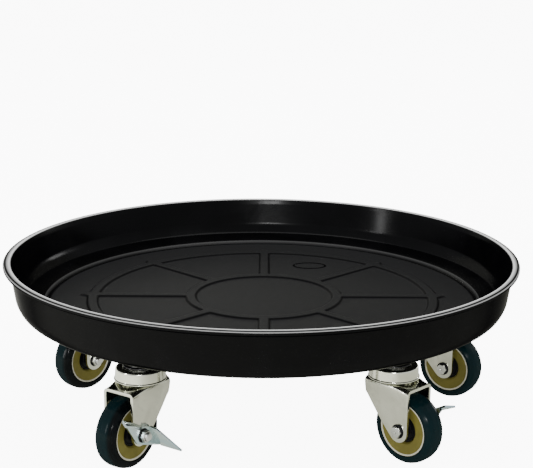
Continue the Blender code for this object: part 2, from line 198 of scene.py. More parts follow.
class SurfaceEffects:
    """Shader node groups that several finishes share."""

    def __init__(self) -> None:
        """Build the groups once."""
        self.relief = self.build_relief()
        self.smudge = self.build_smudge()
        self.dust = self.build_dust()
        self.scratch = self.build_scratch()

    @staticmethod
    def build_relief() -> bpy.types.NodeTree:
        """Fine moulded or plated grain on a slower waviness, as a normal.

        Returns:
            The group.
        """
        group, build = new_shader_group(
            "fine_relief",
            [("Grain Scale", FLOAT, 900.0), ("Grain Height", FLOAT, 0.00002),
             ("Wave Scale", FLOAT, 25.0), ("Wave Height", FLOAT, 0.0001)],
            [("Normal", VECTOR)])
        source = build.add("NodeGroupInput")
        place = build.add("ShaderNodeTexCoord").outputs["Object"]
        grain = build.add("ShaderNodeTexNoise", {
            "Vector": place, "Scale": source.outputs["Grain Scale"], "Detail": 3.0, "Roughness": 0.6})
        wave = build.add("ShaderNodeTexNoise", {"Vector": place, "Scale": source.outputs["Wave Scale"],
                                                "Detail": 1.0})
        fine = build.math("MULTIPLY", grain.outputs["Fac"], source.outputs["Grain Height"])
        slow = build.math("MULTIPLY", wave.outputs["Fac"], source.outputs["Wave Height"])
        height = build.math("ADD", fine, slow)
        bump = build.add("ShaderNodeBump", {"Height": height, "Strength": 1.0, "Distance": 1.0})
        build.add("NodeGroupOutput", {"Normal": bump.outputs["Normal"]})
        return group

    @staticmethod
    def build_smudge() -> bpy.types.NodeTree:
        """Soft patches that change a roughness and a colour a little.

        Returns:
            The group.
        """
        group, build = new_shader_group(
            "smudges",
            [("Color", COLOR, (0.5, 0.5, 0.5, 1)), ("Stain", COLOR, (0.4, 0.4, 0.4, 1)),
             ("Scale", FLOAT, 30.0), ("Roughness Low", FLOAT, 0.2), ("Roughness High", FLOAT, 0.35)],
            [("Color", COLOR), ("Roughness", FLOAT)])
        source = build.add("NodeGroupInput")
        place = build.add("ShaderNodeTexCoord").outputs["Object"]
        patches = build.add("ShaderNodeTexNoise", {"Vector": place, "Scale": source.outputs["Scale"],
                                                   "Detail": 5.0, "Roughness": 0.62, "Distortion": 0.6})
        mask = build.span(patches.outputs["Fac"], 0.36, 0.68)
        color = build.mix(mask, source.outputs["Color"], source.outputs["Stain"])
        rough = build.add("ShaderNodeMapRange", {
            "Value": mask, "To Min": source.outputs["Roughness Low"],
            "To Max": source.outputs["Roughness High"]})
        build.add("NodeGroupOutput", {"Color": color, "Roughness": rough.outputs["Result"]})
        return group

    @staticmethod
    def build_dust() -> bpy.types.NodeTree:
        """Thin dust that lies on upward faces, as a mask.

        Returns:
            The group.
        """
        group, build = new_shader_group(
            "settled_dust", [("Amount", FLOAT, 0.1), ("Scale", FLOAT, 400.0)], [("Mask", FLOAT)])
        source = build.add("NodeGroupInput")
        place = build.add("ShaderNodeTexCoord").outputs["Object"]
        facing = build.add("ShaderNodeNewGeometry").outputs["Normal"]
        upward = build.add("ShaderNodeSeparateXYZ", {"Vector": facing}).outputs["Z"]
        level = build.span(upward, 0.55, 0.98)
        specks = build.add("ShaderNodeTexNoise", {"Vector": place, "Scale": source.outputs["Scale"],
                                                  "Detail": 4.0, "Roughness": 0.7})
        drift = build.add("ShaderNodeTexNoise", {"Vector": place, "Scale": 14.0, "Detail": 2.0})
        fine = build.span(specks.outputs["Fac"], 0.42, 0.78)
        broad = build.span(drift.outputs["Fac"], 0.3, 0.75)
        cover = build.math("MULTIPLY", build.math("MULTIPLY", fine, broad), level)
        mask = build.math("MULTIPLY", cover, source.outputs["Amount"])
        build.add("NodeGroupOutput", {"Mask": mask})
        return group

    @staticmethod
    def build_scratch() -> bpy.types.NodeTree:
        """Sparse hairline scratches as a mask between 0 and 1.

        Returns:
            The group.
        """
        group, build = new_shader_group(
            "hairlines", [("Scale", FLOAT, 60.0), ("Share", FLOAT, 0.5)], [("Mask", FLOAT)])
        source = build.add("NodeGroupInput")
        place = build.add("ShaderNodeTexCoord").outputs["Object"]
        total = None
        for turn, stretch in ((0.4, 9.0), (1.9, 7.0), (2.8, 12.0)):
            turned = build.add("ShaderNodeMapping", {"Vector": place, "Rotation": (0.3, turn, turn * 2),
                                                     "Scale": (1.0, stretch, 1.0)})
            lines = build.add("ShaderNodeTexNoise", {"Vector": turned.outputs["Vector"],
                                                     "Scale": source.outputs["Scale"], "Detail": 2.0})
            distance = build.math("ABSOLUTE", build.math("SUBTRACT", lines.outputs["Fac"], 0.5))
            thin = build.span(distance, 0.0, 0.012, 1.0, 0.0)
            total = thin if total is None else build.math("MAXIMUM", total, thin)
        mask = build.math("MULTIPLY", total, source.outputs["Share"])
        build.add("NodeGroupOutput", {"Mask": mask})
        return group


# ---- finishes -----------------------------------------------------------------------------------
def start_material(name: str) -> tuple[bpy.types.Material, NodeBuilder, bpy.types.Node]:
    """Make an empty node material with a Principled shader.

    Args:
        name: the material's name.

    Returns:
        The material, a builder for its nodes and its shader.
    """
    material = bpy.data.materials.new(name)
    material.use_nodes = True
    material.node_tree.nodes.clear()
    build = NodeBuilder(material.node_tree)
    shader = build.add("ShaderNodeBsdfPrincipled")
    build.add("ShaderNodeOutputMaterial", {"Surface": shader.outputs["BSDF"]})
    return material, build, shader


def faded_specular(build: NodeBuilder, levels: tuple[float, float]) -> bpy.types.NodeSocket:
    """Return a specular level that falls from the face-on value to the edge-on value."""
    facing = build.add("ShaderNodeLayerWeight", {"Blend": 0.5}).outputs["Facing"]
    return build.span(facing, 0.15, 0.7, levels[0], levels[1])


@dataclass(frozen=True)
class Plastic:
    """A moulded plastic: grain, slow waviness, smudges, hairlines and settled dust.

    With a satin colour it also reads three masks from the mesh: satin areas, painted shade along
    the rib creases and painted highlight lines along the lip's edges.
    """

    name: str
    color: Color
    stain: Color
    roughness: tuple[float, float]
    specular: tuple[float, float]
    grain_height: float = 0.000004
    grain_scale: float = 1400.0
    wave_height: float = 0.00005
    smudge_scale: float = 22.0
    dust: float = 0.1
    dust_color: Color = (0.30, 0.28, 0.25)
    hairlines: float = 0.15
    line_roughness: float = 0.18
    satin_color: Color | None = None
    satin_roughness: float = 0.45
    satin_specular: float = 0.0075
    # Pale colour of the painted highlight lines on the lip's edges.
    painted_highlight_color: Color = (0.86, 0.86, 0.84)

    def build(self, effects: SurfaceEffects) -> bpy.types.Material:
        """Make the material.

        Args:
            effects: shared node groups.

        Returns:
            The finished material.
        """
        material, build, shader = start_material(self.name)
        smudge = build.add("ShaderNodeGroup", {
            "Color": (*self.color, 1), "Stain": (*self.stain, 1), "Scale": self.smudge_scale,
            "Roughness Low": self.roughness[0], "Roughness High": self.roughness[1]},
            node_tree=effects.smudge)
        dust = build.add("ShaderNodeGroup", {"Amount": self.dust}, node_tree=effects.dust)
        lines = build.add("ShaderNodeGroup", {"Share": self.hairlines}, node_tree=effects.scratch)
        relief = build.add("ShaderNodeGroup", {
            "Grain Scale": self.grain_scale, "Grain Height": self.grain_height,
            "Wave Height": self.wave_height}, node_tree=effects.relief)
        color = smudge.outputs["Color"]
        rough = smudge.outputs["Roughness"]
        level = faded_specular(build, self.specular)
        if self.satin_color:
            satin = build.add("ShaderNodeAttribute", attribute_name="satin").outputs["Fac"]
            color = build.mix(satin, color, (*self.satin_color, 1))
            gap = build.math("SUBTRACT", self.satin_roughness, rough)
            rough = build.math("ADD", rough, build.math("MULTIPLY", gap, satin))
            change = build.math("SUBTRACT", self.satin_specular, level)
            level = build.math("ADD", level, build.math("MULTIPLY", change, satin))
            # Painted shade: the crease mask turns the satin colour back to the black base colour along
            # the rib edges.
            painted_crease_shade = build.add("ShaderNodeAttribute", attribute_name="painted_crease_shade").outputs["Fac"]
            color = build.mix(painted_crease_shade, color, (*self.color, 1))
            # Painted highlight: the edge mask paints pale lines along the lip's edges and a faint one at
            # the step.
            edge = build.add("ShaderNodeAttribute", attribute_name="edge").outputs["Fac"]
            color = build.mix(edge, color, (*self.painted_highlight_color, 1))
        color = build.mix(dust.outputs["Mask"], color, (*self.dust_color, 1))
        scuffed = build.math("MULTIPLY", lines.outputs["Mask"], self.line_roughness)
        rough = build.math("ADD", rough, scuffed)
        build.tree.links.new(color, shader.inputs["Base Color"])
        build.tree.links.new(rough, shader.inputs["Roughness"])
        build.tree.links.new(relief.outputs["Normal"], shader.inputs["Normal"])
        build.tree.links.new(level, shader.inputs["Specular IOR Level"])
        return material


@dataclass(frozen=True)
class PlatedSteel:
    """Zinc or nickel plated steel: smudges, hairlines, a fine grain and a faint tint."""

    name: str
    color: Color
    stain: Color
    roughness: tuple[float, float]
    grain_height: float = 0.000006
    grain_scale: float = 700.0
    wave_height: float = 0.00006
    wave_scale: float = 60.0
    smudge_scale: float = 55.0
    hairlines: float = 0.35
    line_scale: float = 140.0
    line_roughness: float = 0.12

    def build(self, effects: SurfaceEffects) -> bpy.types.Material:
        """Make the material.

        Args:
            effects: shared node groups.

        Returns:
            The finished material.
        """
        material, build, shader = start_material(self.name)
        smudge = build.add("ShaderNodeGroup", {
            "Color": (*self.color, 1), "Stain": (*self.stain, 1), "Scale": self.smudge_scale,
            "Roughness Low": self.roughness[0], "Roughness High": self.roughness[1]},
            node_tree=effects.smudge)
        lines = build.add("ShaderNodeGroup", {"Scale": self.line_scale, "Share": self.hairlines},
                          node_tree=effects.scratch)
        relief = build.add("ShaderNodeGroup", {
            "Grain Scale": self.grain_scale, "Grain Height": self.grain_height,
            "Wave Scale": self.wave_scale, "Wave Height": self.wave_height}, node_tree=effects.relief)
        rough = build.math("ADD", smudge.outputs["Roughness"],
                           build.math("MULTIPLY", lines.outputs["Mask"], self.line_roughness))
        build.tree.links.new(smudge.outputs["Color"], shader.inputs["Base Color"])
        build.tree.links.new(rough, shader.inputs["Roughness"])
        build.tree.links.new(relief.outputs["Normal"], shader.inputs["Normal"])
        shader.inputs["Metallic"].default_value = 1.0
        return material


@dataclass(frozen=True)
class TyreRubber:
    """Tyre: blue-green tread that turns black on the side walls, with faint rolling marks."""

    name: str = "tyre_rubber"
    tread: Color = (0.0016, 0.0095, 0.0112)
    side: Color = (0.0012, 0.0016, 0.0018)
    roughness: tuple[float, float] = (0.14, 0.22)
    specular: tuple[float, float] = (0.07, 0.002)
    edge: tuple[float, float] = (0.26, 0.34)
    rolled_color: Color = (0.005, 0.018, 0.021)
    rolled_share: float = 0.3
    dust: float = 0.05
    dust_color: Color = (0.25, 0.24, 0.22)

    def build(self, effects: SurfaceEffects) -> bpy.types.Material:
        """Make the material; the tyre's UV runs round the wheel (U) and across the section (V).

        Args:
            effects: shared node groups.

        Returns:
            The finished material.
        """
        material, build, shader = start_material(self.name)
        flat = build.add("ShaderNodeUVMap").outputs["UV"]
        across = build.add("ShaderNodeSeparateXYZ", {"Vector": flat}).outputs["Y"]
        off_middle = build.math("ABSOLUTE", build.math("SUBTRACT", across, 0.5))
        side_share = build.span(off_middle, self.edge[0], self.edge[1])
        color = build.mix(side_share, (*self.tread, 1), (*self.side, 1))
        stretched = build.add("ShaderNodeMapping", {"Vector": flat, "Scale": (3.0, 60.0, 1.0)})
        marks = build.add("ShaderNodeTexNoise", {
            "Vector": stretched.outputs[0], "Scale": 2.0, "Detail": 4.0, "Roughness": 0.6})
        rolled = build.math("MULTIPLY", build.span(marks.outputs["Fac"], 0.45, 0.75), self.rolled_share)
        color = build.mix(rolled, color, (*self.rolled_color, 1))
        dust = build.add("ShaderNodeGroup", {"Amount": self.dust}, node_tree=effects.dust)
        color = build.mix(dust.outputs["Mask"], color, (*self.dust_color, 1))
        relief = build.add("ShaderNodeGroup", {
            "Grain Scale": 1200.0, "Grain Height": 0.000012, "Wave Height": 0.0001},
            node_tree=effects.relief)
        rough = build.span(marks.outputs["Fac"], 0.3, 0.8, self.roughness[0], self.roughness[1])
        build.tree.links.new(color, shader.inputs["Base Color"])
        build.tree.links.new(rough, shader.inputs["Roughness"])
        build.tree.links.new(relief.outputs["Normal"], shader.inputs["Normal"])
        build.tree.links.new(faded_specular(build, self.specular), shader.inputs["Specular IOR Level"])
        return material


@dataclass
class Finishes:
    """Every finish of the caddy."""

    effects: SurfaceEffects = field(default_factory=SurfaceEffects)
    materials: dict[str, bpy.types.Material] = field(default_factory=dict)

    def build(self) -> None:
        """Make all the materials."""
        recipes = (
            Plastic("tray_black", (0.0012, 0.0012, 0.0014), (0.002, 0.002, 0.0023), (0.15, 0.22),
                    (0.06, 0.0008), dust=0.008, satin_color=(0.014, 0.0141, 0.0143),
                    satin_roughness=0.36),
            Plastic("core_olive", (0.165, 0.145, 0.03), (0.115, 0.10, 0.02), (0.32, 0.5), (0.15, 0.02),
                    grain_height=0.00001, dust=0.05),
            Plastic("bead_cream", (0.62, 0.60, 0.47), (0.52, 0.50, 0.38), (0.3, 0.45), (0.5, 0.1),
                    dust=0.03),
            Plastic("bush_black", (0.003, 0.003, 0.004), (0.006, 0.006, 0.007), (0.3, 0.5), (0.1, 0.01),
                    grain_height=0.00001, dust=0.05),
            PlatedSteel("bright_plate", (0.68, 0.685, 0.60), (0.58, 0.585, 0.50), (0.12, 0.22)),
            PlatedSteel("zinc_plate", (0.66, 0.67, 0.66), (0.52, 0.53, 0.50), (0.2, 0.36)),
            PlatedSteel("blue_zinc_plate", (0.46, 0.60, 0.65), (0.58, 0.66, 0.64), (0.16, 0.3)),
            PlatedSteel("dark_race", (0.16, 0.16, 0.165), (0.10, 0.10, 0.105), (0.12, 0.25)),
        )
        for recipe in recipes:
            self.materials[recipe.name] = recipe.build(self.effects)
        tyre = TyreRubber()
        self.materials[tyre.name] = tyre.build(self.effects)

    def __getitem__(self, name: str) -> bpy.types.Material:
        """Return one finish by name."""
        return self.materials[name]


# ---- mesh tools ---------------------------------------------------------------------------------
def fillet_path(corners: Sequence[Corner], closed: bool, steps: int = 6) -> list[Point]:
    """Round the corners of a path.

    Args:
        corners: points (a, b, radius); a radius of 0 keeps a corner sharp.
        closed: whether the last point joins the first.
        steps: segments in each rounded corner.

    Returns:
        The points of the rounded path.
    """
    count = len(corners)
    path: list[Point] = []
    for index, (a, b, radius) in enumerate(corners):
        here = Vector((a, b))
        at_end = not closed and index in (0, count - 1)
        if radius <= 0 or at_end:
            path.append((a, b))
            continue
        before = Vector(corners[index - 1][:2]) - here
        after = Vector(corners[(index + 1) % count][:2]) - here
        angle = before.angle(after)
        cut = min(radius / math.tan(angle / 2), before.length * 0.49, after.length * 0.49)
        radius = cut * math.tan(angle / 2)
        bisector = (before.normalized() + after.normalized()).normalized()
        centre = here + bisector * (radius / math.sin(angle / 2))
        start = here + before.normalized() * cut - centre
        sweep = start.angle_signed(here + after.normalized() * cut - centre)
        for step in range(steps + 1):
            spoke = start.copy()
            spoke.rotate(Matrix.Rotation(-sweep * step / steps, 2))
            path.append(((centre + spoke).x, (centre + spoke).y))
    return path


def finish_mesh(bm: bmesh.types.BMesh, name: str, sharp: float = 40.0) -> bpy.types.Mesh:
    """Turn a bmesh into a mesh with outward faces and smooth shading.

    Args:
        bm: the bmesh, which is freed.
        name: the mesh's name.
        sharp: edges steeper than this many degrees stay sharp.

    Returns:
        The mesh.
    """
    bmesh.ops.recalc_face_normals(bm, faces=bm.faces)
    mesh = bpy.data.meshes.new(name)
    bm.to_mesh(mesh)
    bm.free()
    mesh.shade_smooth()
    mesh.set_sharp_from_angle(angle=math.radians(sharp))
    return mesh


def turned_mesh(name: str, path: Sequence[Point], segments: int, closed: bool = True) -> bpy.types.Mesh:
    """Turn a path of (radius, height) points about Z, with a UV round and along the section.

    Args:
        name: the mesh's name.
        path: the section; a radius near zero makes a pole.
        segments: steps round the axis.
        closed: whether the section is a loop; an open one has a pole at each end.

    Returns:
        The mesh.
    """
    bm = bmesh.new()
    layer = bm.loops.layers.uv.new("UVMap")
    rings = []
    for radius, height in path:
        count = 1 if radius < 1e-7 else segments
        rings.append([bm.verts.new((radius * math.cos(2 * math.pi * k / segments),
                                    radius * math.sin(2 * math.pi * k / segments), height))
                      for k in range(count)])
    lengths = [0.0]
    track = list(path) + ([path[0]] if closed else [])
    for first, second in zip(track, track[1:]):
        lengths.append(lengths[-1] + math.dist(first, second))
    rows = len(rings) if closed else len(rings) - 1
    for row in range(rows):
        low, high = rings[row], rings[(row + 1) % len(rings)]
        v_low, v_high = lengths[row] / lengths[-1], lengths[row + 1] / lengths[-1]
        for k in range(segments):
            ends = ((low, k, v_low), (low, k + 1, v_low), (high, k + 1, v_high), (high, k, v_high))
            corners = [(ring[at % len(ring)], (at / segments, v)) for ring, at, v in ends]
            unique = [item for index, item in enumerate(corners)
                      if item[0] not in [other[0] for other in corners[:index]]]
            face = bm.faces.new([vert for vert, _ in unique])
            for loop, (_, uv) in zip(face.loops, unique):
                loop[layer].uv = uv
    return finish_mesh(bm, name)


def prism_mesh(name: str, outline: Sequence[Point], low: float, high: float) -> bpy.types.Mesh:
    """Extrude an outline of (x, y) points from one height to another.

    Args:
        name: the mesh's name.
        outline: points of the outline.
        low: lower height.
        high: upper height.

    Returns:
        The mesh.
    """
    bm = bmesh.new()
    bottom = [bm.verts.new((x, y, low)) for x, y in outline]
    top = [bm.verts.new((x, y, high)) for x, y in outline]
    bm.faces.new(bottom)
    bm.faces.new(top)
    for index, vert in enumerate(bottom):
        after = (index + 1) % len(bottom)
        bm.faces.new((vert, bottom[after], top[after], top[index]))
    return finish_mesh(bm, name)


def circle(radius: float, count: int) -> list[Point]:
    """Return the points of a regular polygon or a fine circle."""
    return [(radius * math.cos(2 * math.pi * k / count),
             radius * math.sin(2 * math.pi * k / count)) for k in range(count)]


def evaluated_copy(source: bpy.types.Object) -> bpy.types.Mesh:
    """Return a plain mesh of an object with its modifiers applied, and drop the object.

    Args:
        source: an object with modifiers.

    Returns:
        The mesh that the modifiers give.
    """
    bpy.context.view_layer.update()
    graph = bpy.context.evaluated_depsgraph_get()
    result = bpy.data.meshes.new_from_object(source.evaluated_get(graph))
    bpy.data.objects.remove(source, do_unlink=True)
    return result


def stand_in(mesh: bpy.types.Mesh) -> bpy.types.Object:
    """Link a mesh to the scene as a short-lived object.

    Args:
        mesh: the mesh to link.

    Returns:
        The object.
    """
    item = bpy.data.objects.new(mesh.name, mesh)
    bpy.context.scene.collection.objects.link(item)
    return item


def combined(base: bpy.types.Mesh, others: Iterable[bpy.types.Mesh], operation: str) -> bpy.types.Mesh:
    """Join meshes to a base solid, cut them from it or keep what they share.

    Args:
        base: the base solid.
        others: the other solids.
        operation: UNION, DIFFERENCE or INTERSECT.

    Returns:
        The resulting mesh.
    """
    body = stand_in(base)
    helpers = [stand_in(mesh) for mesh in others]
    for helper in helpers:
        modifier = body.modifiers.new(helper.name, "BOOLEAN")
        modifier.operation = operation
        modifier.solver = "EXACT"
        modifier.object = helper
    result = evaluated_copy(body)
    for helper in helpers:
        bpy.data.objects.remove(helper, do_unlink=True)
    return result


def eased(mesh: bpy.types.Mesh, width: float, segments: int = 2, angle: float = 28.0) -> bpy.types.Mesh:
    """Round a mesh's sharp edges.

    Args:
        mesh: the solid.
        width: width of the rounding.
        segments: faces across it.
        angle: edges steeper than this many degrees are rounded.

    Returns:
        The rounded mesh.
    """
    bm = bmesh.new()
    bm.from_mesh(mesh)
    bmesh.ops.remove_doubles(bm, verts=bm.verts, dist=0.00002)
    bmesh.ops.dissolve_limit(bm, angle_limit=math.radians(0.5), verts=bm.verts, edges=bm.edges)
    bm.to_mesh(mesh)
    bm.free()
    item = stand_in(mesh)
    bevel = item.modifiers.new("eased_edges", "BEVEL")
    bevel.width = width
    bevel.segments = segments
    bevel.limit_method = "ANGLE"
    bevel.angle_limit = math.radians(angle)
    bevel.use_clamp_overlap = True
    bevel.harden_normals = False
    result = evaluated_copy(item)
    result.shade_smooth()
    result.set_sharp_from_angle(angle=math.radians(35))
    return result


def moved(mesh: bpy.types.Mesh, matrix: Matrix, name: str) -> bpy.types.Mesh:
    """Return a copy of a mesh with a matrix applied to its points, faces kept outward.

    Args:
        mesh: the mesh to copy.
        matrix: where the copy goes.
        name: the copy's name.

    Returns:
        The copy.
    """
    copy = mesh.copy()
    copy.name = name
    copy.transform(matrix)
    if matrix.determinant() < 0:
        copy.flip_normals()
    return copy


ALONG_AXLE = Matrix.Rotation(-math.pi / 2, 4, "X")


def deliver(name: str, mesh: bpy.types.Mesh, materials: Sequence[bpy.types.Material], body: str,
            nodes: Sequence[str] = ()) -> bpy.types.Object:
    """Make a visible piece and hand it to the frame.

    Args:
        name: the piece's name.
        mesh: its mesh, already in place.
        materials: its finishes, in slot order.
        body: the body it rides on.
        nodes: CAD nodes that it stands for.

    Returns:
        The piece.
    """
    if mesh.materials:
        mesh.materials.clear()
    for material in materials:
        mesh.materials.append(material)
    piece = bpy.data.objects.new(name, mesh)
    bpy.context.scene.collection.objects.link(piece)
    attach(piece, body)
    if nodes:
        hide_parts(*nodes)
    log.info("piece %s rides on %s: %d faces", name, body, len(mesh.polygons))
    return piece


# ---- geometry node trees ------------------------------------------------------------------------
class RepeatTree:
    """A Geometry Nodes tree with named inputs that ends in Realize Instances and Set Material."""

    def __init__(self, name: str, inputs: Sequence[tuple[str, str, object]]) -> None:
        """Start the tree.

        Args:
            name: the tree's name.
            inputs: name, socket type and default value of each input.
        """
        self.tree = bpy.data.node_groups.new(name, "GeometryNodeTree")
        self.keys: dict[str, str] = {}
        for label, kind, value in inputs:
            socket = self.tree.interface.new_socket(name=label, in_out="INPUT", socket_type=kind)
            socket.default_value = value
            self.keys[label] = socket.identifier
        finish = self.tree.interface.new_socket(name="Finish", in_out="INPUT",
                                                socket_type="NodeSocketMaterial")
        self.keys["Finish"] = finish.identifier
        self.tree.interface.new_socket(name="Geometry", in_out="OUTPUT",
                                       socket_type="NodeSocketGeometry")
        self.build = NodeBuilder(self.tree)
        self.source = self.build.add("NodeGroupInput")

    def close(self, geometry: bpy.types.NodeSocket) -> None:
        """End the tree with real geometry in its finish.

        Args:
            geometry: the socket with what the tree has made.
        """
        real = self.build.add("GeometryNodeRealizeInstances", {"Geometry": geometry})
        dressed = self.build.add("GeometryNodeSetMaterial", {
            "Geometry": real.outputs["Geometry"], "Material": self.source.outputs["Finish"]})
        self.build.add("NodeGroupOutput", {"Geometry": dressed.outputs["Geometry"]})

    def run(self, name: str, finish: bpy.types.Material, **values: object) -> bpy.types.Mesh:
        """Run the tree with its inputs and return the result as a plain mesh.

        Args:
            name: the mesh's name.
            finish: material for the result.
            values: input values, with underscores for the spaces in an input's name.

        Returns:
            The mesh.
        """
        item = stand_in(bpy.data.meshes.new(name))
        modifier = item.modifiers.new("repeat", "NODES")
        modifier.node_group = self.tree
        modifier[self.keys["Finish"]] = finish
        for label, value in values.items():
            modifier[self.keys[label.replace("_", " ")]] = value
        result = evaluated_copy(item)
        result.name = name
        return result


def ball_ring_tree() -> RepeatTree:
    """Balls evenly spaced on a circle.

    Returns:
        The tree.
    """
    tree = RepeatTree("bearing_balls", [("Count", "NodeSocketInt", 12), ("Ring Radius", FLOAT, 0.0105),
                                        ("Ball Radius", FLOAT, 0.0019), ("Height", FLOAT, 0.0)])
    build, source = tree.build, tree.source
    ring = build.add("GeometryNodeMeshCircle", {"Vertices": source.outputs["Count"],
                                                "Radius": source.outputs["Ring Radius"]})
    ball = build.add("GeometryNodeMeshUVSphere", {"Segments": 20, "Rings": 12,
                                                  "Radius": source.outputs["Ball Radius"]})
    placed = build.add("GeometryNodeInstanceOnPoints", {"Points": ring.outputs["Mesh"],
                                                        "Instance": ball.outputs["Mesh"]})
    lift = build.add("ShaderNodeCombineXYZ", {"Z": source.outputs["Height"]})
    raised = build.add("GeometryNodeTranslateInstances", {
        "Instances": placed.outputs["Instances"], "Translation": lift.outputs["Vector"],
        "Local Space": False})
    smooth = build.add("GeometryNodeSetShadeSmooth", {"Geometry": raised.outputs["Instances"]})
    tree.close(smooth.outputs["Geometry"])
    return tree


def thread_tree() -> RepeatTree:
    """A screw thread: one ridge that climbs a rod, by its pitch for each turn.

    Returns:
        The tree.
    """
    tree = RepeatTree("screw_thread", [("Turns", FLOAT, 6.0), ("Rod Radius", FLOAT, 0.003),
                                       ("Pitch", FLOAT, 0.001), ("Ridge", FLOAT, 0.0003),
                                       ("Start", FLOAT, 0.0)])
    build, source = tree.build, tree.source
    climb = build.math("MULTIPLY", source.outputs["Turns"], source.outputs["Pitch"])
    helix = build.add("GeometryNodeCurveSpiral", {
        "Resolution": 32, "Rotations": source.outputs["Turns"],
        "Start Radius": source.outputs["Rod Radius"], "End Radius": source.outputs["Rod Radius"],
        "Height": climb})
    section = build.add("GeometryNodeCurvePrimitiveCircle", {"Resolution": 6,
                                                             "Radius": source.outputs["Ridge"]})
    ridge = build.add("GeometryNodeCurveToMesh", {"Curve": helix.outputs["Curve"],
                                                  "Profile Curve": section.outputs["Curve"],
                                                  "Fill Caps": True})
    lift = build.add("ShaderNodeCombineXYZ", {"Z": source.outputs["Start"]})
    moved_up = build.add("GeometryNodeSetPosition", {"Geometry": ridge.outputs["Mesh"],
                                                     "Offset": lift.outputs["Vector"]})
    smooth = build.add("GeometryNodeSetShadeSmooth", {"Geometry": moved_up.outputs["Geometry"]})
    tree.close(smooth.outputs["Geometry"])
    return tree


def radial_rib_tree() -> RepeatTree:
    """Straight ribs that stand out from the middle like spokes.

    Returns:
        The tree.
    """
    tree = RepeatTree("radial_ribs", [("Count", "NodeSocketInt", 20), ("Middle Radius", FLOAT, 0.1),
                                      ("Length", FLOAT, 0.06), ("Thickness", FLOAT, 0.002),
                                      ("Depth", FLOAT, 0.004), ("Height", FLOAT, 0.08)])
    build, source = tree.build, tree.source
    ring = build.add("GeometryNodeMeshCircle", {"Vertices": source.outputs["Count"],
                                                "Radius": source.outputs["Middle Radius"]})
    size = build.add("ShaderNodeCombineXYZ", {"X": source.outputs["Length"],
                                              "Y": source.outputs["Thickness"],
                                              "Z": source.outputs["Depth"]})
    rib = build.add("GeometryNodeMeshCube", {"Size": size.outputs["Vector"]})
    index = build.add("GeometryNodeInputIndex").outputs["Index"]
    full_turn = build.math("DIVIDE", 2 * math.pi, source.outputs["Count"])
    turn = build.add("ShaderNodeCombineXYZ", {"Z": build.math("MULTIPLY", index, full_turn)})
    placed = build.add("GeometryNodeInstanceOnPoints", {
        "Points": ring.outputs["Mesh"], "Instance": rib.outputs["Mesh"],
        "Rotation": turn.outputs["Vector"]})
    lift = build.add("ShaderNodeCombineXYZ", {"Z": source.outputs["Height"]})
    raised = build.add("GeometryNodeTranslateInstances", {
        "Instances": placed.outputs["Instances"], "Translation": lift.outputs["Vector"],
        "Local Space": False})
    tree.close(raised.outputs["Instances"])
    return tree


